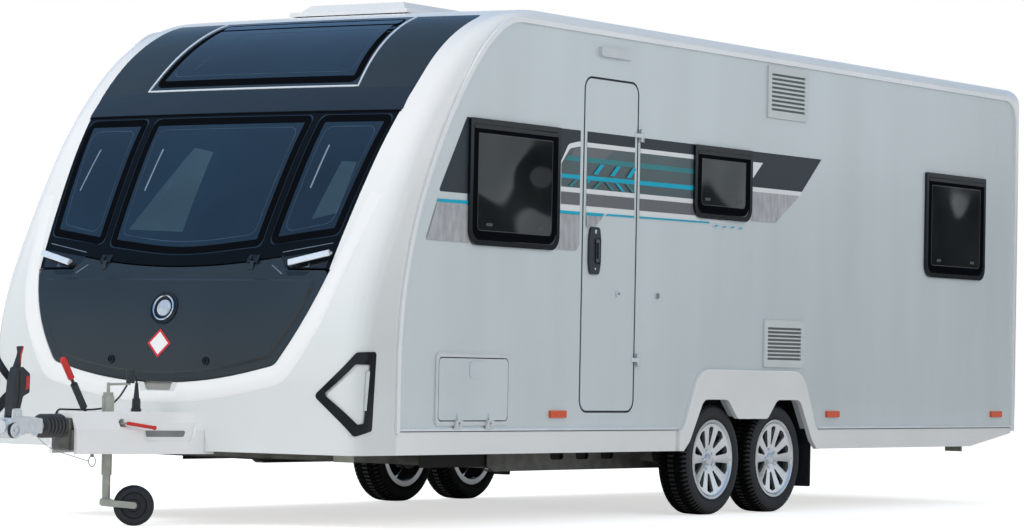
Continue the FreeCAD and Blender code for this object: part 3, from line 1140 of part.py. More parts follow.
def build_jockey():
    """Jockey wheel: clamp and outer tube, turning leg with fork, and the wheel; returns the clamp's grip."""
    x, y = JOCKEY_X, jockey_y()
    outer = tube(Vec(x, y, 236), Vec(x, y, 610), JOCKEY_TUBE_RADIUS, JOCKEY_LEG_RADIUS + SEAT)
    cap = rod(Vec(x, y, 610), Vec(x, y, 622), JOCKEY_TUBE_RADIUS)
    stem = rod(Vec(x, y, 622), Vec(x, y, 668), 8)
    crank = stem.fuse(rod(Vec(x, y, 660), Vec(x + 104, y + 34, 664), 6))
    knob = Vec(x + 104, y + 34, 667)
    crank = crank.fuse(rod(knob, knob + Vec(0, 0, 58), 19))
    beam_x = BEAM_FRONT_X + (RAIL_X - BEAM_FRONT_X) * (JOCKEY_STATION - BEAM_FRONT_STATION) / (
        BEAM_JOIN_STATION + 30 - BEAM_FRONT_STATION)
    block = box(x, beam_x, y - 22, y + 22, 370, 410).cut(drawbar_beam(1))
    ring = rod(Vec(x, y, 360), Vec(x, y, 420), JOCKEY_TUBE_RADIUS + 8)
    clamp = ring.fuse(block).cut(rod(Vec(x, y, 350), Vec(x, y, 430), JOCKEY_TUBE_RADIUS - 1))
    lever = rod(Vec(x + 18, y, 476), Vec(x + 122, y - 4, 480), 5)
    grip = Vec(x + 122, y - 4, 480)
    tip = grip + Vec(64, 122, -20)
    lever = lever.cut(rod(grip - Vec(64, 122, -20), tip, 8.5 + SEAT))
    sleeve = tube(Vec(x, y, 524), Vec(x, y, 606), 29, JOCKEY_TUBE_RADIUS - 1)
    whole = outer.fuse(cap).fuse(crank).fuse(clamp).fuse(sleeve).fuse(lever.cut(rod(Vec(x, y, 400), Vec(x, y, 500), 20)))
    save("jockey_tube", whole.removeSplitter())

    heading = math.radians(JOCKEY_HEADING)
    ahead = Vec(math.cos(heading), math.sin(heading), 0)
    across = Vec(-ahead.y, ahead.x, 0)
    axle = Vec(x, y, JOCKEY_WHEEL_RADIUS) + ahead * JOCKEY_TRAIL
    leg = rod(Vec(x, y, 118), Vec(x, y, 560), JOCKEY_LEG_RADIUS)
    crown = rod(Vec(x, y, 96), Vec(x, y, 120), 30)
    leg = leg.fuse(crown)
    half = JOCKEY_WHEEL_WIDE / 2 + RUN_GAP
    for side in (-1, 1):
        base = Vec(x, y, 0) + across * (side * half)
        rows = [(-26, 92, 8), (JOCKEY_TRAIL + 14, JOCKEY_WHEEL_RADIUS - 15, 14),
                (JOCKEY_TRAIL + 14, JOCKEY_WHEEL_RADIUS + 15, 14), (-26, 124, 8)]
        cheek = prism(rows, "y", 0, 5)
        cheek.rotate(Vec(0, 0, 0), Vec(0, 0, 1), JOCKEY_HEADING)
        shift = base if side > 0 else base - across * 5
        cheek.translate(shift)
        leg = leg.fuse(cheek)
    bridge = box(-28, 26, -half - 2, half + 2, 108, 124)
    bridge.rotate(Vec(0, 0, 0), Vec(0, 0, 1), JOCKEY_HEADING)
    bridge.translate(Vec(x, y, 0))
    pin = rod(axle - across * (half + 5), axle + across * (half + 5), 8)
    save("jockey_leg", leg.fuse(bridge).fuse(pin).removeSplitter())
    wide = JOCKEY_WHEEL_WIDE
    radius = JOCKEY_WHEEL_RADIUS
    rows = [(0, 8 + SEAT), (0, 26), (14, 30), (14, 58), (3, 62), (3, radius - 14), (14, radius), (wide - 14, radius),
            (wide - 3, radius - 14), (wide - 3, 62), (wide - 14, 58), (wide - 14, 30), (wide, 26), (wide, 8 + SEAT)]
    wheel = revolved(rows, axle - across * (wide / 2), across)
    save("jockey_wheel", wheel)
    return rod(grip, tip, 8.5).fuse(Part.makeSphere(11, tip)).removeSplitter()


# ================================================================== cords
def cord(node, points, diameter):
    """Round cord along straight runs joined by tangent arcs; prints the arcs' radii."""
    route = [Vec(x, NOSE_Y + station, z) for x, station, z in points]
    edges = []
    radii = []
    here = route[0]
    for before, point, after in zip(route[:-2], route[1:-1], route[2:]):
        back = before - point
        ahead = after - point
        half_turn = (math.pi - back.getAngle(ahead)) / 2.0
        reach = 0.45 * min(back.Length, ahead.Length)
        radius = reach / math.tan(half_turn)
        back.normalize()
        ahead.normalize()
        inward = back + ahead
        inward.normalize()
        middle = point + inward * (radius / math.cos(half_turn) - radius)
        arc_start = point + back * reach
        arc_end = point + ahead * reach
        edges.append(Part.LineSegment(here, arc_start).toShape())
        edges.append(Part.Arc(arc_start, middle, arc_end).toShape())
        radii.append(round(radius))
        here = arc_end
    edges.append(Part.LineSegment(here, route[-1]).toShape())
    path = Part.Wire(edges)
    section = Part.Wire(Part.makeCircle(diameter / 2, route[0], route[1] - route[0]))
    solid = path.makePipeShell([section], True, False)
    print(node, "length", round(path.Length), "radii", radii)
    save(node, solid)


def build_cords():
    """Electrical lead with its parked plug, and the breakaway cable with its ring."""
    foot = FAIRING_TOP_Z + SEAT
    y = NOSE_Y + PLUG_STATION
    rows = [(0, 0), (0, 25), (12, 25), (12, 21), (56, 20), (62, 14), (PLUG_TOP_Z - foot, 7), (PLUG_TOP_Z - foot, 0)]
    save("lead_plug", revolved(rows, Vec(0, y, foot), Vec(0, 0, 1)))
    cord("electrical_lead", LEAD_POINTS, LEAD_DIAMETER)
    cord("breakaway_cable", CABLE_POINTS, CABLE_DIAMETER)
    x, station, z = CABLE_POINTS[-1]
    ring_y = NOSE_Y + station + RING_RADIUS
    ring = Part.makeTorus(RING_RADIUS, 2, Vec(0, ring_y, z), Vec(1, 0, 0))
    lever = box(-4, 4, ring_y - 8, ring_y + 8, z + RING_RADIUS - 6, BEAM_FRONT_Z - BEAM_TALL / 2 + 20)
    bridge = box(-BEAM_FRONT_X - 28, BEAM_FRONT_X + 28, ring_y - 12, ring_y + 12,
                 BEAM_FRONT_Z - BEAM_TALL / 2 + 20, BEAM_FRONT_Z - BEAM_TALL / 2 + 26)
    save("breakaway_ring", ring.fuse(lever).fuse(bridge).removeSplitter())


# ================================================================== main
def main():
    """Build every node."""
    os.makedirs("parts", exist_ok=True)
    outer, lid = build_shell()
    build_trim(outer)
    save("hinges", *build_door())
    save("lid_hinges", *build_lid(lid, outer))
    build_hatch()
    build_wheels()
    build_axles()
    build_chassis()
    build_flaps()
    build_steadies()
    build_hitch(outer)
    build_cords()


main()
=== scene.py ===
"""Looks of a twin-axle travel caravan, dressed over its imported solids.

Metres throughout.  +Z is up, the hitch points to -Y, and the entrance door is on the +X side.
Stations are distances behind the nose, so y = Frame.nose + station.
"""

import json
import logging
import math
from dataclasses import dataclass
from enum import Enum
from typing import ClassVar, Iterable, Sequence

import bmesh
import bpy
from mathutils import Matrix, Vector
from mathutils.bvhtree import BVHTree

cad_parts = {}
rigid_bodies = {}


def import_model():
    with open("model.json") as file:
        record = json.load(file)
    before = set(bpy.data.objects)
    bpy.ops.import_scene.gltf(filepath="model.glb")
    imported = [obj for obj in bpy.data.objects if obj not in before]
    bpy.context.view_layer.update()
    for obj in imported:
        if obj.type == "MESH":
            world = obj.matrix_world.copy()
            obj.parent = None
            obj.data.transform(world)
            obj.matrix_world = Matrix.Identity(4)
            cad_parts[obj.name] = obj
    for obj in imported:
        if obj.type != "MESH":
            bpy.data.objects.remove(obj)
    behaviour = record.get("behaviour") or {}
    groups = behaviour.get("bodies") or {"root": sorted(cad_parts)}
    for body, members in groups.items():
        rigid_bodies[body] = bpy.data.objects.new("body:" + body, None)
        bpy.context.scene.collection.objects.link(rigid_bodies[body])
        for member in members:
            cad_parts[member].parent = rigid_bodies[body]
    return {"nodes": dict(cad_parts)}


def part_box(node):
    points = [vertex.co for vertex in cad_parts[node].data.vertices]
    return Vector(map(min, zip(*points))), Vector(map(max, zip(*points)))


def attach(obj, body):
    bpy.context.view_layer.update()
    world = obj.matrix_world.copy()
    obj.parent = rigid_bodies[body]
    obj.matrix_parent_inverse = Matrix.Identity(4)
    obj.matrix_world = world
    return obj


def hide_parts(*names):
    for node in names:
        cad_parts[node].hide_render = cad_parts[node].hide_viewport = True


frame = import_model()

LOG = logging.getLogger("caravan")
BODY = "caravan_body"
DOOR = "entrance_door"
LID = "gas_lid"
SHARP_EDGE = math.radians(35.0)
LEAST_RADIUS = 0.003
WELD = 0.00001
CORE, EYE = 0.0004, 0.0005  # radii at which the middles of turned caps end
Row = tuple[float, ...]
Rows = tuple[Row, ...]
Outline = list[tuple[float, float]]
Inputs = dict[str | int, object]
Socket = bpy.types.NodeSocket
Mesh = bmesh.types.BMesh


# ------------------------------------------------------------------ finishes
class Pattern(Enum):
    """Fine relief of a surface."""

    GRAIN = "grain"
    SPANGLE = "spangle"
    WOOD = "wood"


class Graph:
    """Node tree of a material or a world."""

    def __init__(self, owner: bpy.types.Material | bpy.types.World) -> None:
        """Open the owner's tree."""
        owner.use_nodes = True
        self.nodes, self.links = owner.node_tree.nodes, owner.node_tree.links

    def feed(self, node: bpy.types.Node, inputs: Inputs) -> None:
        """Set a node's inputs.

        Args:
            node: the node.
            inputs: what each input takes: a socket is wired, anything else is a constant.
        """
        for key, value in inputs.items():
            if isinstance(value, Socket):
                self.links.new(value, node.inputs[key])
            else:
                node.inputs[key].default_value = value

    def add(self, kind: str, inputs: Inputs | None = None) -> bpy.types.bpy_prop_collection:
        """Add a node.

        Args:
            kind: its type, without the word ShaderNode.
            inputs: what its inputs take.

        Returns:
            Its outputs.
        """
        node = self.nodes.new("ShaderNode" + kind)
        self.feed(node, inputs or {})
        return node.outputs

    def ramp(self, factor: Socket, stops: Sequence[tuple[float, Row]]) -> Socket:
        """Colour ramp.

        Args:
            factor: what picks the colour.
            stops: its (position, colour) stops.

        Returns:
            The colour.
        """
        node = self.nodes.new("ShaderNodeValToRGB")
        while len(node.color_ramp.elements) < len(stops):
            node.color_ramp.elements.new(0.5)
        for stop, (position, colour) in zip(node.color_ramp.elements, stops):
            stop.position = position
            stop.color = (*colour, 1.0)
        self.feed(node, {"Fac": factor})
        return node.outputs["Color"]

    def mix(self, factor: Socket, low: Row | Socket, high: Row | Socket) -> Socket:
        """Mix of two colours, each a constant or a socket.

        Args:
            factor: what picks the colour.
            low: the colour where the factor is 0.
            high: the colour where the factor is 1.

        Returns:
            The mixed colour.
        """
        node = self.nodes.new("ShaderNodeMix")
        node.data_type = "RGBA"
        low, high = ((*colour, 1.0) if isinstance(colour, tuple) else colour for colour in (low, high))
        self.feed(node, {"Factor": factor, "A": low, "B": high})
        return node.outputs["Result"]


@dataclass(frozen=True)
class Finish:
    """One surface finish: colour, gloss, relief and how far they vary."""

    name: str
    colour: Row
    roughness: float = 0.4
    metallic: float = 0.0
    coat: float = 0.0
    alpha: float = 1.0
    tint: float = 0.04
    tint_scale: float = 2.0
    rough_spread: float = 0.05
    relief: float = 0.0001
    relief_scale: float = 220.0
    pattern: Pattern = Pattern.GRAIN
    stretch: Row = (1.0, 1.0, 1.0)
    upper: Row = ()
    level: float = 0.0
    blend: float = 0.002
    specular: float = 0.5
    relief_detail: float = 4.0

    coat_roughness: ClassVar[float] = 0.04
    bump_strength: ClassVar[float] = 0.6
    tint_detail: ClassVar[float] = 3.0
    tint_stops: ClassVar[Row] = (0.3, 0.7)
    wood_distortion: ClassVar[float] = 6.0
    least_roughness: ClassVar[float] = 0.02

    def material(self) -> bpy.types.Material:
        """Build, or find, the node material.

        Returns:
            The procedural material of this finish.
        """
        label = f"{self.name}_finish"
        found = bpy.data.materials.get(label)
        if found:
            return found
        material = bpy.data.materials.new(label)
        graph = Graph(material)
        place = graph.add("TexCoord")["Object"]
        spot = graph.add("Mapping", {"Vector": place, "Scale": self.stretch})["Vector"]
        cloud = self._noise(graph, spot, self.tint_scale, self.tint_detail)
        colour = self._clouded(graph, cloud, self.colour)
        # Second colour above a height: two-tone paint on the front frame, and on the nose the white above its
        # painted shade.
        if self.upper:
            height = graph.add("SeparateXYZ", {"Vector": place})["Z"]
            edge = graph.add("MapRange", {"Value": height, "From Min": self.level - self.blend,
                                          "From Max": self.level + self.blend})["Result"]
            colour = graph.mix(edge, colour, self._clouded(graph, cloud, self.upper))
        smoothest = max(self.roughness - self.rough_spread, self.least_roughness)
        roughest = min(self.roughness + self.rough_spread, 1.0)
        gloss = graph.add("MapRange", {"Value": cloud, "To Min": smoothest, "To Max": roughest})["Result"]
        bump = graph.add("Bump", {"Height": self._relief(graph, spot), "Strength": self.bump_strength,
                                  "Distance": self.relief})["Normal"]
        graph.feed(graph.nodes["Principled BSDF"], {
            "Base Color": colour, "Roughness": gloss, "Normal": bump, "Metallic": self.metallic,
            "Coat Weight": self.coat, "Coat Roughness": self.coat_roughness, "Alpha": self.alpha,
            "Specular IOR Level": self.specular})
        return material

    def _clouded(self, graph: Graph, cloud: Socket, colour: Row) -> Socket:
        """Colour that the cloud noise varies by the tint.

        Args:
            graph: the material's tree.
            cloud: the noise.
            colour: the plain colour.

        Returns:
            The varied colour.
        """
        low = tuple(max(c * (1.0 - self.tint), 0.0) for c in colour)
        high = tuple(min(c * (1.0 + self.tint), 1.0) for c in colour)
        return graph.ramp(cloud, tuple(zip(self.tint_stops, (low, high))))

    @staticmethod
    def _noise(graph: Graph, spot: Socket, scale: float, detail: float) -> Socket:
        """Noise at the spot."""
        return graph.add("TexNoise", {"Vector": spot, "Scale": scale, "Detail": detail})["Fac"]

    def _relief(self, graph: Graph, spot: Socket) -> Socket:
        """Height pattern of the finish.

        Args:
            graph: the material's tree.
            spot: where it is looked up.

        Returns:
            The height.
        """
        if self.pattern is Pattern.SPANGLE:
            return graph.add("TexVoronoi", {"Vector": spot, "Scale": self.relief_scale})["Distance"]
        if self.pattern is Pattern.WOOD:
            return graph.add("TexWave", {"Vector": spot, "Scale": self.relief_scale,
                                         "Distortion": self.wood_distortion})["Fac"]
        return self._noise(graph, spot, self.relief_scale, self.relief_detail)


SIDE_PANEL = Finish("side_panel", (0.63, 0.69, 0.705), 0.3, metallic=0.15, coat=0.4, tint=0.045,
                    tint_scale=2.2, relief=0.0006, relief_scale=7.0, stretch=(1.0, 1.0, 0.16))
ROOF_PANEL = Finish("roof_panel", (0.8, 0.82, 0.82), 0.35, coat=0.4, tint=0.02, relief=0.0003,
                    relief_scale=12.0)
# Nose moulding: plain white above about 1.35 m, greyer below it: painted shade of the moulding's lower,
# concave part.
NOSE_WHITE_SHADED_LOW = Finish("nose_white", (0.70, 0.725, 0.72), 0.24, coat=0.6, tint=0.02, tint_scale=1.2,
                    relief=0.00025, relief_scale=9.0, upper=(0.86, 0.865, 0.86), level=1.35, blend=0.45)
WHITE_MOULDING = Finish("white_moulding", (0.86, 0.865, 0.86), 0.22, coat=0.7, tint=0.015, tint_scale=1.2,
                        relief=0.00025, relief_scale=9.0)
GREY_MOULDING = Finish("grey_moulding", (0.80, 0.81, 0.80), 0.3, coat=0.5, tint=0.03, relief_scale=400.0)
DARK_FRAME = Finish("dark_frame", (0.004, 0.006, 0.009), 0.2, tint=0.1, tint_scale=1.4, relief=0.0002,
                    relief_scale=8.0, upper=(0.030, 0.045, 0.060), level=1.997, specular=0.06)
DARK_LID = Finish("dark_lid", (0.016, 0.024, 0.029), 0.36, coat=0.2, tint=0.12, relief=0.0003,
                  relief_scale=10.0)
NAME_BAND = Finish("name_band", (0.009, 0.013, 0.017), 0.3, coat=0.2, tint=0.12, tint_scale=3.0,
                   relief=0.0002)
PULL_RECESS = Finish("pull_recess", (0.33, 0.33, 0.31), 0.45, coat=0.2, tint=0.06, tint_scale=9.0)
BLACK_GLOSS = Finish("black_gloss", (0.006, 0.008, 0.011), 0.16, coat=0.15, specular=0.3, tint=0.1,
                     relief=0.00005)
BLACK_PLASTIC = Finish("black_plastic", (0.022, 0.026, 0.03), 0.5, tint=0.12, tint_scale=30.0,
                       relief=0.0002, relief_scale=900.0)
WHITE_PLASTIC = Finish("white_plastic", (0.6, 0.635, 0.65), 0.4, tint=0.03, tint_scale=8.0,
                       relief_scale=600.0)
VENT_PLASTIC = Finish("vent_plastic", (0.60, 0.635, 0.64), 0.45, tint=0.03, tint_scale=8.0,
                      relief_scale=600.0)
GREY_PLASTIC = Finish("grey_plastic", (0.2, 0.21, 0.215), 0.45, tint=0.08, tint_scale=14.0,
                      relief_scale=700.0)
FRONT_GLASS = Finish("front_glass", (0.007, 0.02, 0.038), 0.06, alpha=0.96, tint=0.3, tint_scale=1.3,
                     rough_spread=0.02, relief=0.003, relief_scale=2.2)
SIDE_GLASS = Finish("side_glass", (0.008, 0.011, 0.011), 0.05, alpha=0.95, tint=0.5, tint_scale=3.0,
                    rough_spread=0.02, relief=0.09, relief_scale=2.1, relief_detail=0.4)
PANE_EDGE = Finish("pane_edge", (0.004, 0.005, 0.007), 0.3, tint=0.1, relief=0.0005, relief_scale=2.4,
                   specular=0.0)
BADGE_SILVER = Finish("badge_silver", (0.62, 0.66, 0.70), 0.22, metallic=0.5, coat=0.3, tint=0.12,
                      tint_scale=40.0)
PANE_LINE = Finish("pane_line", (0.03, 0.055, 0.085), 0.2, tint=0.3, tint_scale=5.0)
PANE_BLIND = Finish("pane_blind", (0.026, 0.052, 0.072), 0.12, tint=0.2, tint_scale=2.5, relief=0.002,
                    relief_scale=2.4)
PANE_STRUT = Finish("pane_strut", (0.30, 0.36, 0.40), 0.3, metallic=0.4, tint=0.2, tint_scale=12.0)
# Dark grey back that the vent slots show: painted shade of the openings.
VENT_SLOT_SHADE = Finish("louvre", (0.13, 0.14, 0.14), 0.5, tint=0.1, tint_scale=20.0, relief_scale=700.0)
STEEL_BAND = Finish("steel_band", (0.86, 0.90, 0.94), 0.2, metallic=0.4, coat=0.4, tint=0.05,
                    tint_scale=6.0)
# Near-black: painted shade inside the chassis slots, and the dark joints of the coupling handle.
SHADE_AND_JOINT = Finish("hollow", (0.012, 0.012, 0.011), 0.7, tint=0.2, tint_scale=12.0)
# Painted shade of the grab handles' recesses, and the painted highlight along their edges.
POCKET_SHADE = Finish("pocket", (0.006, 0.008, 0.010), 0.2, coat=0.3, tint=0.2, relief=0.001, relief_scale=9.0)
POCKET_EDGE_HIGHLIGHT = Finish("pocket_edge", (0.20, 0.23, 0.25), 0.2, metallic=0.5, coat=0.5, tint=0.2,
                     tint_scale=14.0)
BELLOWS_RUBBER = Finish("bellows_rubber", (0.045, 0.046, 0.048), 0.34, tint=0.2, tint_scale=30.0,
                        relief=0.0002, relief_scale=800.0)
# Light line ring: a painted highlight along the glazing's edge; the window catches take the same finish.
GLAZING_HIGHLIGHT_AND_CATCH = Finish("window_line", (0.05, 0.056, 0.06), 0.25, tint=0.2, tint_scale=6.0)
SEAL = Finish("seal", (0.018, 0.02, 0.022), 0.55, tint=0.2, tint_scale=40.0, relief=0.0003,
              relief_scale=900.0)
ROOF_ACRYLIC = Finish("roof_acrylic", (0.78, 0.8, 0.82), 0.2, coat=0.4, tint=0.03, relief=0.0002)
RAIL_METAL = Finish("rail_metal", (0.84, 0.86, 0.87), 0.26, metallic=0.1, coat=0.5, tint=0.05,
                    tint_scale=5.0, relief_scale=300.0, stretch=(1.0, 0.2, 0.2))
CHROME = Finish("chrome", (0.86, 0.88, 0.9), 0.08, metallic=1.0, tint=0.03, tint_scale=20.0,
                rough_spread=0.03, relief=0.00003)
ALLOY = Finish("alloy", (0.78, 0.79, 0.80), 0.2, metallic=0.85, coat=0.4, tint=0.12, tint_scale=9.0,
               relief=0.00006, relief_scale=700.0)
DRUM = Finish("drum", (0.010, 0.010, 0.012), 0.7, tint=0.3, tint_scale=30.0, relief=0.0003, specular=0.2)
# Darker rubber for the tread's grooves and slots: painted shade.
TREAD_SHADE = Finish("tread_hollow", (0.005, 0.005, 0.005), 0.9, tint=0.2, tint_scale=40.0, specular=0.1)
TYRE = Finish("tyre_rubber", (0.019, 0.019, 0.020), 0.66, tint=0.25, tint_scale=25.0, rough_spread=0.12,
              relief=0.0003, relief_scale=500.0)
RUBBER = Finish("rubber", (0.014, 0.015, 0.018), 0.5, tint=0.2, tint_scale=30.0, rough_spread=0.1,
                relief=0.0002, relief_scale=800.0)
GALVANISED = Finish("galvanised", (0.16, 0.16, 0.145), 0.5, metallic=0.3, tint=0.35, tint_scale=12.0,
                    rough_spread=0.15, relief=0.0003, relief_scale=90.0, pattern=Pattern.SPANGLE)
ZINC = Finish("zinc", (0.42, 0.43, 0.37), 0.42, metallic=0.5, tint=0.14, tint_scale=20.0, rough_spread=0.12,
              relief=0.0002, relief_scale=120.0, pattern=Pattern.SPANGLE)
BRIGHT_ZINC = Finish("bright_zinc", (0.70, 0.73, 0.76), 0.34, metallic=0.5, tint=0.08, tint_scale=30.0,
                     rough_spread=0.08, relief=0.0002, relief_scale=160.0, pattern=Pattern.SPANGLE)
AMBER_LENS = Finish("amber_lens", (0.72, 0.085, 0.01), 0.35, coat=0.15, tint=0.15, tint_scale=60.0,
                    relief=0.0006, relief_scale=350.0)
RED_LENS = Finish("red_lens", (0.42, 0.02, 0.015), 0.2, coat=0.7, tint=0.2, tint_scale=40.0, relief=0.0006,
                  relief_scale=300.0)
RED_GRIP = Finish("red_grip", (0.60, 0.022, 0.014), 0.4, coat=0.1, tint=0.1, tint_scale=40.0, relief=0.0002)
BOARD = Finish("board", (0.32, 0.24, 0.15), 0.6, tint=0.25, tint_scale=4.0, relief=0.0004, relief_scale=9.0,
               pattern=Pattern.WOOD, stretch=(1.0, 0.2, 1.0))

STRIPE_DARK = Finish("stripe_dark", (0.030, 0.038, 0.044), 0.4, coat=0.05, tint=0.05, relief_scale=500.0,
                     specular=0.25)
STRIPE_WHITE = Finish("stripe_white", (0.76, 0.78, 0.79), 0.35, coat=0.3, tint=0.02, relief_scale=500.0)
STRIPE_GREY = Finish("stripe_grey", (0.125, 0.13, 0.14), 0.38, coat=0.3, tint=0.05, relief_scale=500.0)
STRIPE_MOSS = Finish("stripe_moss", (0.062, 0.095, 0.1), 0.36, coat=0.3, tint=0.12, tint_scale=3.0,
                     relief_scale=500.0)
STRIPE_PETROL = Finish("stripe_petrol", (0.022, 0.20, 0.22), 0.4, coat=0.05, tint=0.12, tint_scale=3.0,
                       relief_scale=500.0)
STRIPE_CYAN = Finish("stripe_cyan", (0.004, 0.39, 0.56), 0.4, coat=0.05, tint=0.06, relief_scale=500.0,
                     specular=0.2)
STRIPE_BRUSHED = Finish("stripe_brushed", (0.46, 0.46, 0.47), 0.42, metallic=0.35, tint=0.2,
                        tint_scale=30.0, rough_spread=0.12, relief=0.0004, relief_scale=90.0,
                        stretch=(1.0, 1.0, 0.35))
SIGN_RED = Finish("sign_red", (0.6, 0.02, 0.03), 0.4, coat=0.3, tint=0.06, relief_scale=500.0)
SIGN_WHITE = Finish("sign_white", (0.82, 0.82, 0.82), 0.4, coat=0.3, tint=0.02, relief_scale=500.0)

NODE_FINISHES: dict[str, Finish] = {
    "nose_moulding": NOSE_WHITE_SHADED_LOW, "front_frame": DARK_FRAME, "front_panes": FRONT_GLASS,
    "gas_locker_lid": DARK_LID, "door_side_wall": SIDE_PANEL, "off_side_wall": SIDE_PANEL,
    "door_leaf": SIDE_PANEL, "storage_hatch": SIDE_PANEL, "roof_panel": ROOF_PANEL,
    "rear_panel": WHITE_MOULDING, "roof_lights": ROOF_ACRYLIC, "floor_panel": BOARD,
    "gas_locker_walls": BOARD, "wheel_boxes": BLACK_PLASTIC, "window_rims": BLACK_GLOSS,
    "window_panes": SIDE_GLASS, "hatch_frame": WHITE_PLASTIC, "wall_vents": VENT_PLASTIC,
    "door_lamp": WHITE_PLASTIC, "door_handle": BLACK_PLASTIC, "hinges": SIDE_PANEL,
    "awning_rails": RAIL_METAL, "arch_mouldings": GREY_MOULDING, "side_skirts": GREY_MOULDING,
    "corner_trims": BLACK_GLOSS, "lid_hinges": BLACK_GLOSS, "front_reflectors": WHITE_PLASTIC,
    "red_grips": RED_GRIP, "marker_lamps": AMBER_LENS, "rear_lamps": RED_LENS, "grab_handles": STEEL_BAND,
    "mud_flaps": RUBBER, "chassis_frame": GALVANISED, "axle_front": GALVANISED, "axle_rear": GALVANISED,
    "steady_brackets": ZINC, "hitch_fairing": WHITE_MOULDING, "coupling_head": BRIGHT_ZINC,
    "coupling_handle": BLACK_PLASTIC, "bellows": BELLOWS_RUBBER, "handbrake_lever": BLACK_PLASTIC,
    "jockey_tube": ZINC, "jockey_leg": ZINC, "jockey_wheel": RUBBER, "lead_plug": BLACK_PLASTIC,
    "breakaway_ring": ZINC,
}
NODE_FINISHES |= {f"steady_{row}_{side}": ZINC for row in ("front", "rear") for side in ("near", "off")}
NODE_FINISHES |= {f"rim_{row}_{side}": ALLOY for row in ("front", "rear") for side in ("near", "off")}


# ------------------------------------------------------------------ helpers for meshes
def dress(node: bpy.types.Object, finish: Finish) -> None:
    """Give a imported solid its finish.

    Args:
        node: the object of the solid.
        finish: what it is made of.
    """
    if not node.material_slots:
        node.data.materials.append(None)
    for slot in node.material_slots:
        slot.link = "OBJECT"
        slot.material = finish.material()


def piece(name: str, body: str, mesh: Mesh, finishes: Sequence[Finish], smooth: bool = False,
          turned: bool = False) -> bpy.types.Object:
    """Turn a bmesh into a piece that rides on a body.

    Args:
        name: name of the new object.
        body: body that it moves with.
        mesh: its geometry, which is freed.
        finishes: its finishes, in the order of its faces' material numbers.
        smooth: whether it is shaded smooth, with edges over SHARP_EDGE kept sharp.
        turned: whether its faces are turned outwards first.

    Returns:
        The new object.
    """
    if turned:
        bmesh.ops.recalc_face_normals(mesh, faces=mesh.faces[:])
    data = bpy.data.meshes.new(name)
    mesh.to_mesh(data)
    mesh.free()
    if smooth:
        data.shade_smooth()
        data.set_sharp_from_angle(angle=SHARP_EDGE)
    made = bpy.data.objects.new(name, data)
    bpy.context.scene.collection.objects.link(made)
    for finish in finishes:
        data.materials.append(finish.material())
    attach(made, body)
    return made


def rounded(corners: Iterable[Row], steps: int = 6) -> Outline:
    """Closed outline through (u, v) or (u, v, radius) corners.

    Args:
        corners: the corners in order; one without a radius is sharp.
        steps: points on each round corner.

    Returns:
        The outline's points.
    """
    rows = [(Vector((u, v)), radius[0] if radius else 0) for u, v, *radius in corners]
    outline: Outline = []
    for i, (here, radius) in enumerate(rows):
        before = (rows[i - 1][0] - here).normalized()
        after = (rows[(i + 1) % len(rows)][0] - here).normalized()
        if radius == 0:
            outline.append(tuple(here))
            continue
        half = before.angle(after) / 2.0
        inward = (before + after).normalized()
        centre = here + inward * (radius / math.sin(half))
        start = here + before * (radius / math.tan(half)) - centre
        end = here + after * (radius / math.tan(half)) - centre
        turn = start.angle_signed(end)
        for k in range(steps + 1):
            outline.append(tuple(centre + Matrix.Rotation(-turn * k / steps, 2) @ start))
    return outline


def spread(points: Sequence[Row], step: float, closed: bool = False) -> Outline:
    """Points at about even steps along straight runs.

    Args:
        points: the ends of the runs.
        step: the distance wanted between neighbours.
        closed: whether one more run leads back to the first point.

    Returns:
        The ends and the points between them.
    """
    spots: Outline = []
    for i in range(len(points) if closed else len(points) - 1):
        (u0, v0), (u1, v1) = points[i], points[(i + 1) % len(points)]
        count = max(1, round(math.hypot(u1 - u0, v1 - v0) / step))
        spots += [(u0 + (u1 - u0) * k / count, v0 + (v1 - v0) * k / count) for k in range(count)]
    return spots if closed else [*spots, points[-1]]


def bridge(mesh: Mesh, lines: Sequence[Sequence[bmesh.types.BMVert]], number: int = 0,
           around: bool = False, along: bool = False) -> None:
    """Join neighbouring lines of vertices with faces.

    Args:
        mesh: receives the faces.
        lines: lines that have as many vertices.
        number: material number of the faces.
        around: whether the last line joins the first.
        along: whether each line closes on itself.
    """
    for k in range(len(lines) if around else len(lines) - 1):
        here, following = lines[k], lines[(k + 1) % len(lines)]
        for i in range(len(here) if along else len(here) - 1):
            j = (i + 1) % len(here)
            mesh.faces.new((here[i], here[j], following[j], following[i])).material_index = number


def slab(mesh: Mesh, outline: Sequence[Row], place: Matrix, thick: float, number: int = 0) -> None:
    """Add a flat slab to a bmesh.

    Args:
        mesh: receives the slab.
        outline: its outline in the XY plane of place.
        place: puts it in the frame; it grows along its Z axis.
        thick: its thickness.
        number: material number of its faces.
    """
    lines = [[mesh.verts.new(place @ Vector((u, v, level))) for u, v in outline] for level in (0.0, thick)]
    for cap in (lines[0][::-1], lines[1]):
        mesh.faces.new(cap).material_index = number
    bridge(mesh, lines, number, along=True)


def lathe(mesh: Mesh, rows: Sequence[Row], place: Matrix, steps: int, number: int = 0) -> None:
    """Add a turned ring or disc: rows are (distance along Z, radius), closed on itself.

    Args:
        mesh: receives the solid.
        rows: the closed profile.
        place: puts it in the frame.
        steps: facets around.
        number: material number of its faces.
    """
    lines = []
    for k in range(steps):
        turn = math.tau * k / steps
        u, v = math.cos(turn), math.sin(turn)
        lines.append([mesh.verts.new(place @ Vector((r * u, r * v, h))) for h, r in rows])
    bridge(mesh, lines, number, around=True, along=True)


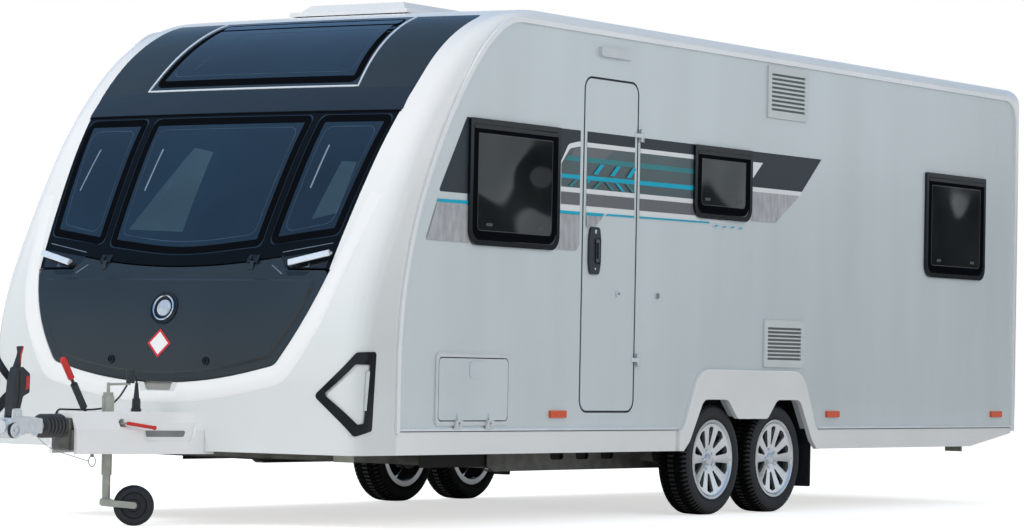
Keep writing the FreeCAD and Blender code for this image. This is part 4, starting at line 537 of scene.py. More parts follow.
def ring(mesh: Mesh, outer: Outline, inner: Outline, place: Matrix, thick: float,
         number: int = 0) -> None:
    """Add a flat ring between two outlines that have as many points.

    Args:
        mesh: receives the ring.
        outer: its outer outline, in the XY plane of place.
        inner: its inner outline.
        place: puts it in the frame.
        thick: its thickness.
        number: material number of its faces.
    """
    lines = [[mesh.verts.new(place @ Vector((u, v, level))) for u, v in outline]
             for outline, level in ((outer, 0.0), (outer, thick), (inner, thick), (inner, 0.0))]
    bridge(mesh, lines, number, around=True, along=True)


def mirrored(points: Iterable[Row], side: int) -> list[Row]:
    """Points whose first number is multiplied by side (1 or -1)."""
    return [(side * u, *rest) for u, *rest in points]


def panel_rows(low: Row, high: Row, radii: Row, inset: float = 0.0) -> list[Row]:
    """Corners of a rectangle.

    Args:
        low: its lowest corner.
        high: its highest corner.
        radii: radii of its foot and its top.
        inset: how far it is drawn in.

    Returns:
        Its (u, v, radius) corners.
    """
    foot, top = (max(r - inset, LEAST_RADIUS) for r in radii)
    return [(low[0] + inset, low[1] + inset, foot), (high[0] - inset, low[1] + inset, foot),
            (high[0] - inset, high[1] - inset, top), (low[0] + inset, high[1] - inset, top)]


def islands(name: str) -> list[tuple[Vector, Vector]]:
    """Boxes of the separate solids of a node.

    Args:
        name: the node.

    Returns:
        The lowest and highest corner of each.
    """
    data = frame["nodes"][name].data
    mesh = bmesh.new()
    mesh.from_mesh(data)
    bmesh.ops.remove_doubles(mesh, verts=mesh.verts[:], dist=WELD)
    boxes: list[tuple[Vector, Vector]] = []
    left = set(mesh.verts)
    while left:
        group = {left.pop()}
        edge = list(group)
        while edge:
            for vert in [v for link in edge.pop().link_edges for v in link.verts if v in left]:
                left.discard(vert)
                group.add(vert)
                edge.append(vert)
        low = Vector([min(v.co[i] for v in group) for i in range(3)])
        high = Vector([max(v.co[i] for v in group) for i in range(3)])
        boxes.append((low, high))
    mesh.free()
    return sorted(boxes, key=lambda box: tuple(box[0]))


def wall_plane(x: float, side: int) -> Matrix:
    """Matrix of a plane at x: its axes are +Y, +Z and outwards."""
    return Matrix(((0.0, 0.0, side, x), (1.0, 0.0, 0.0, 0.0), (0.0, 1.0, 0.0, 0.0), (0.0, 0.0, 0.0, 1.0)))


def facing(origin: Row | Vector, outward: Row | Vector) -> Matrix:
    """Place that faces outwards.

    Args:
        origin: its origin.
        outward: the way it faces.

    Returns:
        The matrix whose Z axis is outward and whose Y axis leans upwards.
    """
    z = Vector(outward).normalized()
    x = Vector((0.0, 0.0, 1.0)).cross(z).normalized()
    rotation = Matrix((x, z.cross(x), z)).transposed().to_4x4()
    return Matrix.Translation(origin) @ rotation


def raised(place: Matrix, height: float) -> Matrix:
    """A place moved outwards along its own Z axis."""
    return place @ Matrix.Translation((0.0, 0.0, height))


def tube(name: str, kind: str, points: Sequence[Row], radius: float, facets: int) -> bpy.types.Curve:
    """Round tube along a list of points.

    Args:
        name: name of the curve.
        kind: kind of spline.
        points: the list.
        radius: radius of the tube.
        facets: how finely it is rounded.

    Returns:
        The curve.
    """
    curve = bpy.data.curves.new(name, "CURVE")
    curve.dimensions = "3D"
    curve.bevel_depth = radius
    curve.bevel_resolution = facets
    curve.use_fill_caps = True
    spline = curve.splines.new(kind)
    spline.points.add(len(points) - 1)
    for control, point in zip(spline.points, points):
        control.co = (*point, 1.0)
    return curve


# ------------------------------------------------------------------ the frame's own places
class Frame:
    """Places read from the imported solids."""

    nose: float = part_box("nose_moulding")[0].y
    wall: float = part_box("door_side_wall")[1].x

    @staticmethod
    def station(distance: float) -> float:
        """Y of a station behind the nose."""
        return Frame.nose + distance


def search_tree(names: Sequence[str]) -> BVHTree:
    """Search tree of the faces of some solids.

    Args:
        names: their nodes.

    Returns:
        The tree.
    """
    points: list[Vector] = []
    faces: list[tuple[int, ...]] = []
    for name in names:
        data = frame["nodes"][name].data
        base = len(points)
        points += [v.co.copy() for v in data.vertices]
        faces += [tuple(base + i for i in p.vertices) for p in data.polygons]
    return BVHTree.FromPolygons(points, faces)


@dataclass
class NoseSurface:
    """The front surface of the body, found by rays that run back from in front of it."""

    names: Sequence[str]
    ahead: float = 2.0
    tries: Row = (0.0, 0.008, -0.008, 0.016, -0.016)
    span: float = 0.02

    def __post_init__(self) -> None:
        """Join the named solids."""
        self.tree = search_tree(self.names)

    def hit(self, x: float, z: float, lift: float = 0.0) -> Vector:
        """Point of the surface.

        Args:
            x: where it lies across.
            z: its height; the nearest spot that isn't in a gap is taken.
            lift: how far it is lifted off along the normal.

        Returns:
            The point.
        """
        for shift in self.tries:
            start = Vector((x, Frame.nose - self.ahead, z + shift))
            place, normal, _, _ = self.tree.ray_cast(start, Vector((0.0, 1.0, 0.0)))
            if place:
                break
        if normal.y > 0:
            normal = -normal
        return place + normal * lift

    def facing(self, x: float, z: float, lift: float = 0.0) -> Matrix:
        """Place on the surface.

        Args:
            x: where it lies across.
            z: its height.
            lift: how far it is lifted off along the normal.

        Returns:
            Its matrix, with Z outwards.
        """
        across = self.hit(x + self.span, z) - self.hit(x - self.span, z)
        rise = self.hit(x, z + self.span) - self.hit(x, z - self.span)
        return facing(self.hit(x, z, lift), across.cross(rise))


def wire_piece(name: str, body: str, points: Sequence[Vector], radius: float,
               finish: Finish) -> bpy.types.Object:
    """Round wire along a list of points, as a mesh piece.

    Args:
        name: name of the piece.
        body: body it rides on.
        points: its points.
        radius: its radius.
        finish: its finish.

    Returns:
        The new piece.
    """
    curve = tube(name + "_line", "POLY", points, radius, 3)
    carrier = bpy.data.objects.new(name + "_line", curve)
    data = bpy.data.meshes.new_from_object(carrier)
    bpy.data.objects.remove(carrier)
    bpy.data.curves.remove(curve)
    mesh = bmesh.new()
    mesh.from_mesh(data)
    bpy.data.meshes.remove(data)
    return piece(name, body, mesh, [finish], smooth=True)


# ------------------------------------------------------------------ side graphics
@dataclass(frozen=True)
class Band:
    """One coloured shape on a side wall: (station, height) corners, with a radius where they are round."""

    finish: Finish
    corners: tuple[Row, ...]


@dataclass(frozen=True)
class SideGraphics:
    """Striped graphics along the windows, split where the door's edges cross them.

    Each band lies one layer further out than the one before it.
    """

    top: float = 1.985
    roof_line: float = 1.927
    front: float = 1.800
    rear: float = 3.740
    lift: float = 0.0005
    layer: float = 0.0003
    corner_steps: int = 8
    zones: tuple[tuple[int, str, str, Row], ...] = (
        (1, "door_side_graphics_front", BODY, (0.5, 1.979)), (1, "door_graphics", DOOR, (2.043, 2.512)),
        (1, "door_side_graphics_rear", BODY, (2.566, 5.0)), (-1, "off_side_graphics", BODY, (0.5, 5.0)))

    @staticmethod
    def slanted(finish: Finish, start: float, heights: Row, lean: float, wide: float) -> Band:
        """Slanted bar.

        Args:
            finish: its finish.
            start: station of its foot's front.
            heights: heights of its foot and its top.
            lean: how far its top stands behind its foot.
            wide: its width along the wall.

        Returns:
            The band.
        """
        foot, top = heights
        return Band(finish, ((start, foot), (start + lean, top), (start + lean + wide, top),
                             (start + wide, foot)))

    def bands(self) -> list[Band]:
        """Shapes of the graphics.

        Returns:
            The bands, from the lowest layer to the highest.
        """
        front, rear = self.front, self.rear
        shapes = [
            Band(STRIPE_DARK, ((0.941, self.top), (0.709, 1.613, 0.01), (0.97, 1.613), (0.97, self.top))),
            Band(STRIPE_DARK, ((1.76, self.top), (1.76, 1.81), (1.79, 1.81), (1.87, 1.897),
                               (1.96, self.roof_line), (rear, self.roof_line), (rear, self.top))),
            Band(STRIPE_DARK, ((rear - 0.04, self.top), (rear - 0.04, 1.79), (4.32, 1.79),
                               (4.545, self.top))),
            Band(STRIPE_WHITE, ((1.76, 1.81), (1.79, 1.81, 0.01), (1.865, 1.91, 0.05), (1.96, 1.928, 0.05),
                                (rear, 1.928), (rear, 1.602), (3.42, 1.578), (1.76, 1.560))),
            Band(STRIPE_MOSS, ((front, 1.692), (front, 1.808, 0.01), (1.88, 1.889, 0.05),
                               (1.98, 1.904, 0.05), (rear, 1.906), (rear, 1.692))),
            Band(STRIPE_GREY, ((1.89, 1.852), (1.93, 1.892, 0.02), (1.99, 1.902, 0.02), (2.3, 1.902),
                               (2.22, 1.852))),
            Band(STRIPE_PETROL, ((1.83, 1.826), (1.86, 1.852), (rear, 1.852), (rear, 1.826))),
            Band(STRIPE_CYAN, ((front, 1.737), (front, 1.757), (rear, 1.766), (rear, 1.739))),
            Band(STRIPE_GREY, ((front, 1.604), (front, 1.667), (rear, 1.667), (rear, 1.606))),
            Band(STRIPE_WHITE, ((rear - 0.02, 1.927), (3.867, 1.927), (rear - 0.02, 1.806))),
            Band(STRIPE_WHITE, ((rear - 0.02, 1.79), (rear - 0.02, 1.764), (4.305, 1.764), (4.318, 1.79))),
            Band(STRIPE_BRUSHED, ((rear - 0.09, 1.764), (rear - 0.09, 1.603), (4.02, 1.605, 0.05),
                                  (4.29, 1.766, 0.004))),
            Band(STRIPE_CYAN, ((0.693, 1.562), (0.703, 1.577), (0.97, 1.579), (0.97, 1.562))),
            Band(STRIPE_BRUSHED, ((0.694, 1.556, 0.004), (0.607, 1.377, 0.01), (1.02, 1.377),
                                  (1.02, 1.556))),
            Band(STRIPE_CYAN, ((1.76, 1.557), (1.76, 1.571), (2.216, 1.573), (2.2, 1.557))),
            Band(STRIPE_CYAN, ((2.23, 1.563), (2.242, 1.573), (3.29, 1.578), (3.29, 1.570))),
            Band(STRIPE_BRUSHED, ((1.70, 1.554), (1.70, 1.376), (1.981, 1.374, 0.05), (1.981, 1.555))),
            Band(STRIPE_BRUSHED, ((2.042, 1.556), (2.042, 1.495), (2.14, 1.512, 0.02),
                                  (2.205, 1.556, 0.004))),
        ]
        for i, finish in enumerate((STRIPE_PETROL, STRIPE_CYAN, STRIPE_PETROL)):
            shapes += [self.slanted(finish, 1.86 + 0.115 * i, (1.694, 1.735), 0.07, 0.03),
                       self.slanted(STRIPE_CYAN, 2.10 + 0.16 * i, (1.769, 1.822), 0.065, 0.04),
                       self.slanted(finish, 2.28 + 0.1 * i, (1.694, 1.735), -0.07, 0.03)]
        for i in range(4):
            start, foot = 3.335 + 0.088 * i, 1.556 - 0.002 * (i % 2)
            shapes.append(Band(STRIPE_CYAN, ((start, foot), (start + 0.022, foot + 0.008),
                                             (start + 0.05, foot + 0.005), (start + 0.024, foot - 0.002))))
        return shapes

    def build(self) -> None:
        """Lay the graphics on both walls, cut to the panels they lie on."""
        for side, name, body, limits in self.zones:
            mesh = bmesh.new()
            finishes: list[Finish] = []
            for level, band in enumerate(self.bands()):
                if band.finish not in finishes:
                    finishes.append(band.finish)
                self._lay(mesh, band, level, side, limits, finishes.index(band.finish))
            piece(name, body, mesh, finishes)

    def _lay(self, mesh: Mesh, band: Band, level: int, side: int, limits: Row, number: int) -> None:
        """Add one band, cut to its panel.

        Args:
            mesh: receives the band.
            band: its shape and finish.
            level: its layer, counted from the wall.
            side: 1 on the door side, -1 on the other.
            limits: first and last station of the panel.
            number: material number of its finish.
        """
        outline = rounded(band.corners, self.corner_steps)
        if max(u for u, _ in outline) < limits[0] or min(u for u, _ in outline) > limits[1]:
            return
        x = side * (Frame.wall + self.lift + self.layer * level)
        shape = bmesh.new()
        shape.faces.new([shape.verts.new((x, Frame.station(u), v)) for u, v in outline])
        for limit, way in zip(limits, (-1.0, 1.0)):
            cut = shape.verts[:] + shape.edges[:] + shape.faces[:]
            bmesh.ops.bisect_plane(shape, geom=cut, plane_co=(0.0, Frame.station(limit), 0.0),
                                   plane_no=(0.0, way, 0.0), clear_outer=True)
        for face in shape.faces:
            if face.normal.x * side < 0:
                face.normal_flip()
            made = mesh.faces.new([mesh.verts.new(v.co) for v in face.verts])
            made.material_index = number
        shape.free()


# ------------------------------------------------------------------ nose
@dataclass
class NoseDress:
    """Trim of the front: lines, name band, pane prints, painted shade and highlights of the handle pockets,
    badge, sign, locks and raised band.

    Outlines are (x, z) points of the front view, profiles are (height, radius) points.
    """

    line_step: float = 0.02
    ribbon_step: float = 0.03
    light_line: Rows = ((-0.592, 2.512), (-0.648, 2.128), (0.648, 2.128), (0.592, 2.512))
    name_corners: Rows = ((-0.966, 2.003), (0.966, 2.003), (0.960, 2.118), (-0.960, 2.118))
    name_foot: Rows = ((-0.962, 1.996), (0.962, 1.996))
    middle_pane: Rows = ((-0.467, 1.326), (0.0, 1.276), (0.467, 1.326), (0.491, 1.982), (-0.491, 1.982))
    near_pane: Rows = ((0.505, 1.334), (0.880, 1.381), (0.938, 1.982), (0.529, 1.982))
    roof_pane: Rows = ((-0.63, 2.146), (0.63, 2.146), (0.575, 2.508), (-0.575, 2.508))
    blinds: tuple[Rows, ...] = (((-0.373, 1.413), (-0.03, 1.400), (-0.02, 1.800), (-0.149, 1.824)),
                                ((0.70, 1.46), (0.83, 1.49), (0.84, 1.74), (0.755, 1.745)))
    struts: tuple[Rows, ...] = (((-0.348, 1.820), (-0.362, 1.608)), ((0.649, 1.827), (0.634, 1.613)),
                                ((-0.771, 1.826), (-0.800, 1.615)))
    pane_lines: tuple[tuple[Rows, float], ...] = ((((-0.187, 1.759), (-0.250, 1.527)), 0.007),
                                                  (((-0.343, 2.43), (-0.433, 2.241)), 0.006))
    # Dark sheets standing for the shade in the handle recesses; the edge ribbons are painted highlights.
    pocket: Rows = ((0.640, 1.226), (0.862, 1.226), (0.872, 1.312), (0.600, 1.276))
    pocket_highlights: tuple[tuple[Rows, float, float], ...] = (
        (((0.735, 1.224), (0.768, 1.232), (0.765, 1.246)), 0.007, 0.0014),
        (((0.60, 1.300), (0.862, 1.345)), 0.004, 0.0012))
    lid_pocket_shade: Rows = ((0.665, 1.188), (0.760, 1.190), (0.780, 1.209), (0.645, 1.209))
    lid_pocket_highlights: tuple[tuple[Rows, float, float], ...] = (
        (((0.562, 1.238), (0.630, 1.196)), 0.006, 0.0012),)
    badge_height: float = 1.028
    badge_rim: Rows = ((0.002, 0.063), (0.009, 0.063), (0.012, 0.060), (0.011, 0.056), (0.006, 0.054),
                       (0.002, 0.054))
    badge_dish: Rows = ((0.0, EYE), (0.0, 0.080), (0.003, 0.081), (0.0045, 0.079), (0.002, 0.068),
                        (0.0025, EYE))
    badge_dome: Rows = ((0.002, EYE), (0.002, 0.041), (0.005, 0.039), (0.009, 0.024), (0.0105, EYE))
    sign_height: float = 0.859
    sign_halves: Row = (0.070, 0.055)
    sign_layer: float = 0.0006
    lock_spot: Row = (0.288, 0.778)
    lock_rows: Rows = ((0.0, EYE), (0.0, 0.021), (0.006, 0.020), (0.009, 0.014), (0.004, 0.012), (0.004, EYE))
    lock_key: Rows = ((-0.002, -0.008), (0.002, -0.008), (0.002, 0.008), (-0.002, 0.008))
    recess_floor: Rows = ((-0.090, 0.688), (-0.0715, 0.6355, 0.012), (0.0715, 0.6355, 0.012), (0.090, 0.688))
    recess_depth: float = 0.0158
    recess_half: float = 0.0955
    recess_top: float = 0.630
    band_line: Rows = ((0.0, 0.607, 2.4), (0.668, 0.768, 0.06), (0.815, 0.985, 1.2), (0.884, 1.214, 0.5),
                       (0.969, 1.60))
    band_end: float = 1.56
    band_fade: float = 0.3
    band_least: float = 0.06
    band_full: float = 1.0
    band_narrows: float = 0.5
    band_loss: float = 0.25

    def __post_init__(self) -> None:
        """Find the surfaces that carry the trim."""
        self.skin = NoseSurface(("front_frame", "front_panes", "nose_moulding", "gas_locker_lid"))

    def build(self) -> None:
        """Make every piece of the nose's trim."""
        line = [self.skin.hit(x, z, 0.002) for x, z in spread(self.light_line, self.line_step)]
        wire_piece("roof_light_line", BODY, line, 0.0055, STEEL_BAND)
        mesh = bmesh.new()
        self.sheet(mesh, self.name_corners, 0.0012, counts=(8, 40))
        self.ribbon(mesh, self.name_foot, 0.010, 0.0014, 1)
        piece("name_band", BODY, mesh, [NAME_BAND, PANE_EDGE], smooth=True)
        for make in (self._panes, self._pocket_shades, self._badge, self._sign, self._locks, self._recess,
                     self._raised_band):
            make()

    def ribbon(self, mesh: Mesh, points: Sequence[Row], wide: float, lift: float, number: int = 0,
               closed: bool = False) -> None:
        """Add a flat ribbon on the skin along points of the front view.

        Args:
            mesh: receives the ribbon.
            points: its middle line, as (x, z) points.
            wide: its width.
            lift: its height off the skin.
            number: material number of its faces.
            closed: whether it closes on itself.
        """
        spots = spread(points, self.ribbon_step, closed)
        last = len(spots) - 1
        rows = []
        for i, (x, z) in enumerate(spots):
            before = spots[i - 1] if closed or i else spots[0]
            after = spots[(i + 1) % len(spots)] if closed or i < last else spots[last]
            along = Vector((after[0] - before[0], after[1] - before[1])).normalized() * (wide / 2.0)
            rows.append([mesh.verts.new(self.skin.hit(x - way * along.y, z + way * along.x, lift))
                         for way in (1, -1)])
        bridge(mesh, rows, number, around=closed)

    def sheet(self, mesh: Mesh, corners: Sequence[Row], lift: float, number: int = 0,
              counts: tuple[int, int] = (16, 16)) -> None:
        """Add a four-cornered sheet on the skin.

        Args:
            mesh: receives the sheet.
            corners: its (x, z) corners: two of the foot, then two of the top.
            lift: its height off the skin.
            number: material number of its faces.
            counts: how many faces it has upwards and across.
        """
        a, b, c, d = (Vector(corner) for corner in corners)
        up, across = counts
        grid = []
        for i in range(up + 1):
            low, high = a.lerp(d, i / up), b.lerp(c, i / up)
            grid.append([mesh.verts.new(self.skin.hit(*low.lerp(high, k / across), lift))
                         for k in range(across + 1)])
        bridge(mesh, grid, number)

    @staticmethod
    def drawn_in(rows: Sequence[Row], inset: float) -> list[Row]:
        """Corners of a pane's print; one on the middle line only moves up or down.

        Args:
            rows: (x, z) corners of the pane.
            inset: how far they move inwards.

        Returns:
            The moved corners, each with a radius.
        """
        centre = Vector((sum(x for x, _ in rows), sum(z for _, z in rows))) / len(rows)
        corners = []
        for x, z in rows:
            inner = x if abs(centre.x - x) < 0.05 else x + math.copysign(inset, centre.x - x)
            radius = 0.012 + inset * 0.5 if x else 1.8
            corners.append((inner, z + math.copysign(inset, centre.y - z), radius))
        return corners

    def _panes(self) -> None:
        """Dark printed edges of the panes, and the lines and blinds behind them."""
        mesh = bmesh.new()
        off_pane = mirrored(reversed(self.near_pane), -1)
        for rows in (self.middle_pane, self.near_pane, off_pane, self.roof_pane):
            for inset, wide, number in ((0.021, 0.036, 0), (0.062, 0.004, 1)):
                self.ribbon(mesh, rounded(self.drawn_in(rows, inset)), wide, 0.0006, number, closed=True)
        for corners in self.blinds:
            self.sheet(mesh, corners, 0.0004, 2)
        for points in self.struts:
            self.ribbon(mesh, points, 0.009, 0.0009, 3)
        for points, wide in self.pane_lines:
            self.ribbon(mesh, points, wide, 0.0009, 1)
        piece("front_pane_prints", BODY, mesh, [PANE_EDGE, PANE_LINE, PANE_BLIND, PANE_STRUT], smooth=True)

    def _pocket_shades(self) -> None:
        """Painted shade of the recesses behind the grab handles: a dark sheet in each, with a painted
        highlight along its edge.
        """
        for name, body, pocket, edges in (("handle_pockets", BODY, self.pocket, self.pocket_highlights),
                                          ("lid_pockets", LID, self.lid_pocket_shade, self.lid_pocket_highlights)):
            mesh = bmesh.new()
            for side in (-1, 1):
                self.sheet(mesh, mirrored(pocket, side), 0.0007)
                for points, wide, lift in edges:
                    self.ribbon(mesh, mirrored(points, side), wide, lift, 1)
            piece(name, body, mesh, [POCKET_SHADE, POCKET_EDGE_HIGHLIGHT], smooth=True)

    def _badge(self) -> None:
        """Plain ring badge: bright ring, dark dish under it and a plain domed centre."""
        place = self.skin.facing(0.0, self.badge_height, 0.0005)
        mesh = bmesh.new()
        for number, rows in enumerate((self.badge_rim, self.badge_dish, self.badge_dome)):
            lathe(mesh, rows, place, 64, number)
        piece("front_badge", LID, mesh, [CHROME, BLACK_GLOSS, BADGE_SILVER], smooth=True)

    def _sign(self) -> None:
        """Blank bordered diamond."""
        place = self.skin.facing(0.0, self.sign_height, 0.0005)
        mesh = bmesh.new()
        for number, half in enumerate(self.sign_halves):
            outline = [(half, 0.0), (0.0, half), (-half, 0.0), (0.0, -half)]
            slab(mesh, outline, raised(place, self.sign_layer * number), self.sign_layer, number)
        piece("blank_sign", LID, mesh, [SIGN_RED, SIGN_WHITE])

    def _locks(self) -> None:
        """Two round lid locks, each with a bar for the key."""
        x, z = self.lock_spot
        mesh = bmesh.new()
        for side in (-1, 1):
            place = self.skin.facing(side * x, z)
            lathe(mesh, self.lock_rows, place, 32)
            slab(mesh, self.lock_key, raised(place, 0.004), 0.006)
        piece("lid_locks", LID, mesh, [BLACK_GLOSS], smooth=True)

    def _recess(self) -> None:
        """Grey floor of the finger recess under the lid's foot."""
        mesh = bmesh.new()
        place = facing((0.0, Frame.station(self.recess_depth), 0.0), (0.0, -1.0, 0.0))
        slab(mesh, rounded(self.recess_floor), place, 0.0008)
        piece("pull_recess_floor", BODY, mesh, [PULL_RECESS])

    def _raised_band(self) -> None:
        """Raised white band that runs down beside the frame and round the lid's foot.

        It flattens and narrows towards its upper ends, and starts below the finger recess.
        """
        rows = mirrored(reversed(self.band_line[1:]), -1) + list(self.band_line)
        spots = [Vector(spot) for spot in spread(rounded(rows, 24), self.line_step)]
        skin = NoseSurface(("nose_moulding",))
        mesh = bmesh.new()
        lines = []
        for i, spot in enumerate(spots):
            along = (spots[min(i + 1, len(spots) - 1)] - spots[max(i - 1, 0)]).normalized()
            fade = min(max((self.band_end - spot.y) / self.band_fade, self.band_least), 1.0)
            narrowed = min(max((spot.y - self.band_full) / self.band_narrows, 0.0), 1.0)
            across = Vector((along.y, -along.x)) * (1.0 - self.band_loss * narrowed)
            start = spot.y - self.recess_top if abs(spot.x) < self.recess_half else 0.008
            levels = ((start, 0.0002), (start + 0.005, 0.0035), (0.055, 0.0055), (0.091, 0.0045),
                      (0.100, 0.0002))
            lines.append([mesh.verts.new(skin.hit(*(spot + across * out), rise * fade))
                          for out, rise in levels])
        bridge(mesh, lines)
        piece("nose_raised_band", BODY, mesh, [WHITE_MOULDING], smooth=True)


# ------------------------------------------------------------------ side walls
@dataclass(frozen=True)
class WallDress:
    """Window borders with painted highlight lines, door seals, painted shade behind the vent slots, strips
    over the skirts and door fittings.
    """

    pane_radii: Row = (0.075, 0.012)
    border: Row = (0.002, 0.044)
    border_thick: float = 0.0006
    glazing_highlight: Row = (0.046, 0.049)
    line_thick: float = 0.0005
    rail_foot: float = 0.024
    rail_gap: float = 0.004
    rail_thick: float = 0.004
    catch_shares: Row = (0.2, 0.8)
    catch_half: float = 0.028
    catch_heights: Row = (0.07, 0.086)
    door_radii: Row = (0.065, 0.065)
    vent_margin: float = 0.03
    skirt_runs: Rows = ((0.405, 2.975), (4.555, 7.065))
    strip_rows: Rows = ((0.4635, 0.4765, 0.006), (0.4595, 0.4640, 0.003))
    latch_height: float = 1.165
    latch_spots: Row = (-0.6925, -0.2945)
    latch_rows: Rows = ((0.0, CORE), (0.0, 0.0155), (0.003, 0.0155), (0.0045, 0.012), (0.0035, 0.006),
                        (0.0035, CORE))
    grip_back: float = 0.071
    grip_bars: Rows = ((-0.016, 1.322, 0.016, 1.338, 0.004), (-0.016, 1.422, 0.016, 1.438, 0.004),
                       (0.006, 1.336, 0.016, 1.424, 0.002))
    key_discs: Rows = ((1.477, 0.010), (1.287, 0.006))

    def windows(self) -> None:
        """Border, painted highlight line along the glazing, top rail and catches of each window in the walls
        and the rear panel.
        """
        mesh = bmesh.new()
        for low, high in islands("window_panes"):
            if high.x - low.x > high.y - low.y:
                (left, foot), (right, top) = (-high.x, low.z), (-low.x, high.z)
                place = facing((0.0, high.y, 0.0), (0.0, 1.0, 0.0))
            else:
                (left, foot), (right, top) = (low.y, low.z), (high.y, high.z)
                side = 1 if low.x + high.x > 0 else -1
                place = wall_plane(high.x if side > 0 else low.x, side)
            # The second ring is a painted highlight along the glazing's edge.
            for insets, thick, number in ((self.border, self.border_thick, 0),
                                          (self.glazing_highlight, self.line_thick, 1)):
                outlines = [rounded(panel_rows((left, foot), (right, top), self.pane_radii, inset))
                            for inset in insets]
                ring(mesh, *outlines, place, thick, number)
            gap = self.rail_gap
            rail = panel_rows((left + gap, top - self.rail_foot), (right - gap, top - gap), (gap, gap))
            slab(mesh, rounded(rail), raised(place, self.border_thick), self.rail_thick, 2)
            for share in self.catch_shares:
                y = left + (right - left) * share
                z0, z1 = (foot + height for height in self.catch_heights)
                catch = panel_rows((y - self.catch_half, z0), (y + self.catch_half, z1), (0.006, 0.006))
                slab(mesh, rounded(catch), place, 0.0008, 1)
        piece("window_borders", BODY, mesh, [PANE_EDGE, GLAZING_HIGHLIGHT_AND_CATCH, BLACK_GLOSS], turned=True)

    def door(self) -> None:
        """Seal round the door: one strip on the leaf and one on the opening."""
        low, high = self.leaf()
        strips = (("door_edge_trim", DOOR, (0.0, 0.006), Frame.wall, 0.0009),
                  ("door_seal", BODY, (-0.005, -0.0025), Frame.wall - 0.024, 0.0245))
        for name, body, insets, x, thick in strips:
            mesh = bmesh.new()
            outlines = [rounded(panel_rows(low, high, self.door_radii, inset), 10) for inset in insets]
            ring(mesh, *outlines, wall_plane(x, 1), thick)
            piece(name, body, mesh, [SEAL], turned=True)

    @staticmethod
    def leaf() -> tuple[Row, Row]:
        """Corners of the door leaf in its plane, without its hinges.

        Returns:
            Its lowest and highest (y, z) corner.
        """
        spots = [v.co for v in frame["nodes"]["door_leaf"].data.vertices if v.co.x < Frame.wall - 0.02]
        low, high = (tuple(pick(v[axis] for v in spots) for axis in (1, 2)) for pick in (min, max))
        return low, high

    def vents(self) -> None:
        """Painted shade behind the slots of the vents: a dark back that shows through them."""
        edge = self.vent_margin
        mesh = bmesh.new()
        for low, high in islands("wall_vents"):
            back = panel_rows((low.y + edge, low.z + edge), (high.y - edge, high.z - edge), (0.004, 0.004))
            slab(mesh, rounded(back, 2), wall_plane(Frame.wall + 0.0006, 1), 0.0035)
        piece("vent_blades", BODY, mesh, [VENT_SLOT_SHADE])

    def strips(self) -> None:
        """Bright strip between each side wall and its skirt, with a dark seal under it."""
        mesh = bmesh.new()
        for side in (-1, 1):
            place = wall_plane(side * (Frame.wall + 0.0003), side)
            for first, last in self.skirt_runs:
                for number, (foot, top, thick) in enumerate(self.strip_rows):
                    rows = [(first, foot), (last, foot), (last, top), (first, top)]
                    slab(mesh, [(Frame.station(u), v) for u, v in rows], place, thick, number)
        piece("skirt_strips", BODY, mesh, [STEEL_BAND, SEAL], turned=True)

    def fittings(self) -> None:
        """Bright trim of the door handle, and the knob and receiver of the door's catch."""
        low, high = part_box("door_handle")
        y = low.y + self.grip_back
        mesh = bmesh.new()
        for y0, z0, y1, z1, radius in self.grip_bars:
            bar = panel_rows((y + y0, z0), (y + y1, z1), (radius, radius))
            slab(mesh, rounded(bar), wall_plane(high.x, 1), 0.0015)
        for height, radius in self.key_discs:
            rows = ((0.0, CORE), (0.0, radius), (0.002, radius), (0.003, radius * 0.7), (0.003, CORE))
            lathe(mesh, rows, facing((Frame.wall + 0.013, low.y + 0.056, height), (1.0, 0.0, 0.0)), 24)
        piece("door_handle_trim", DOOR, mesh, [CHROME], smooth=True)
        for name, body, y, finish in zip(("catch_knob", "catch_receiver"), (DOOR, BODY), self.latch_spots,
                                         (CHROME, GREY_PLASTIC)):
            mesh = bmesh.new()
            place = facing((Frame.wall + 0.0105, y, self.latch_height), (1.0, 0.0, 0.0))
            lathe(mesh, self.latch_rows, place, 32)
            piece(name, body, mesh, [finish], smooth=True)

    def build(self) -> None:
        """Make every piece."""
        self.windows()
        self.door()
        self.vents()
        self.strips()
        self.fittings()


# ------------------------------------------------------------------ wheels
@dataclass(frozen=True)
class TyreSize:
    """Sizes of a road tyre: its bead and tread, and how deep its grooves and slots are."""

    radius: float = 0.300
    wide: float = 0.185
    bead: float = 0.2063
    groove: float = 0.009
    slot: float = 0.007
    tread_half: float = 0.07
    crown: float = 0.003
    shoulder: float = 0.012


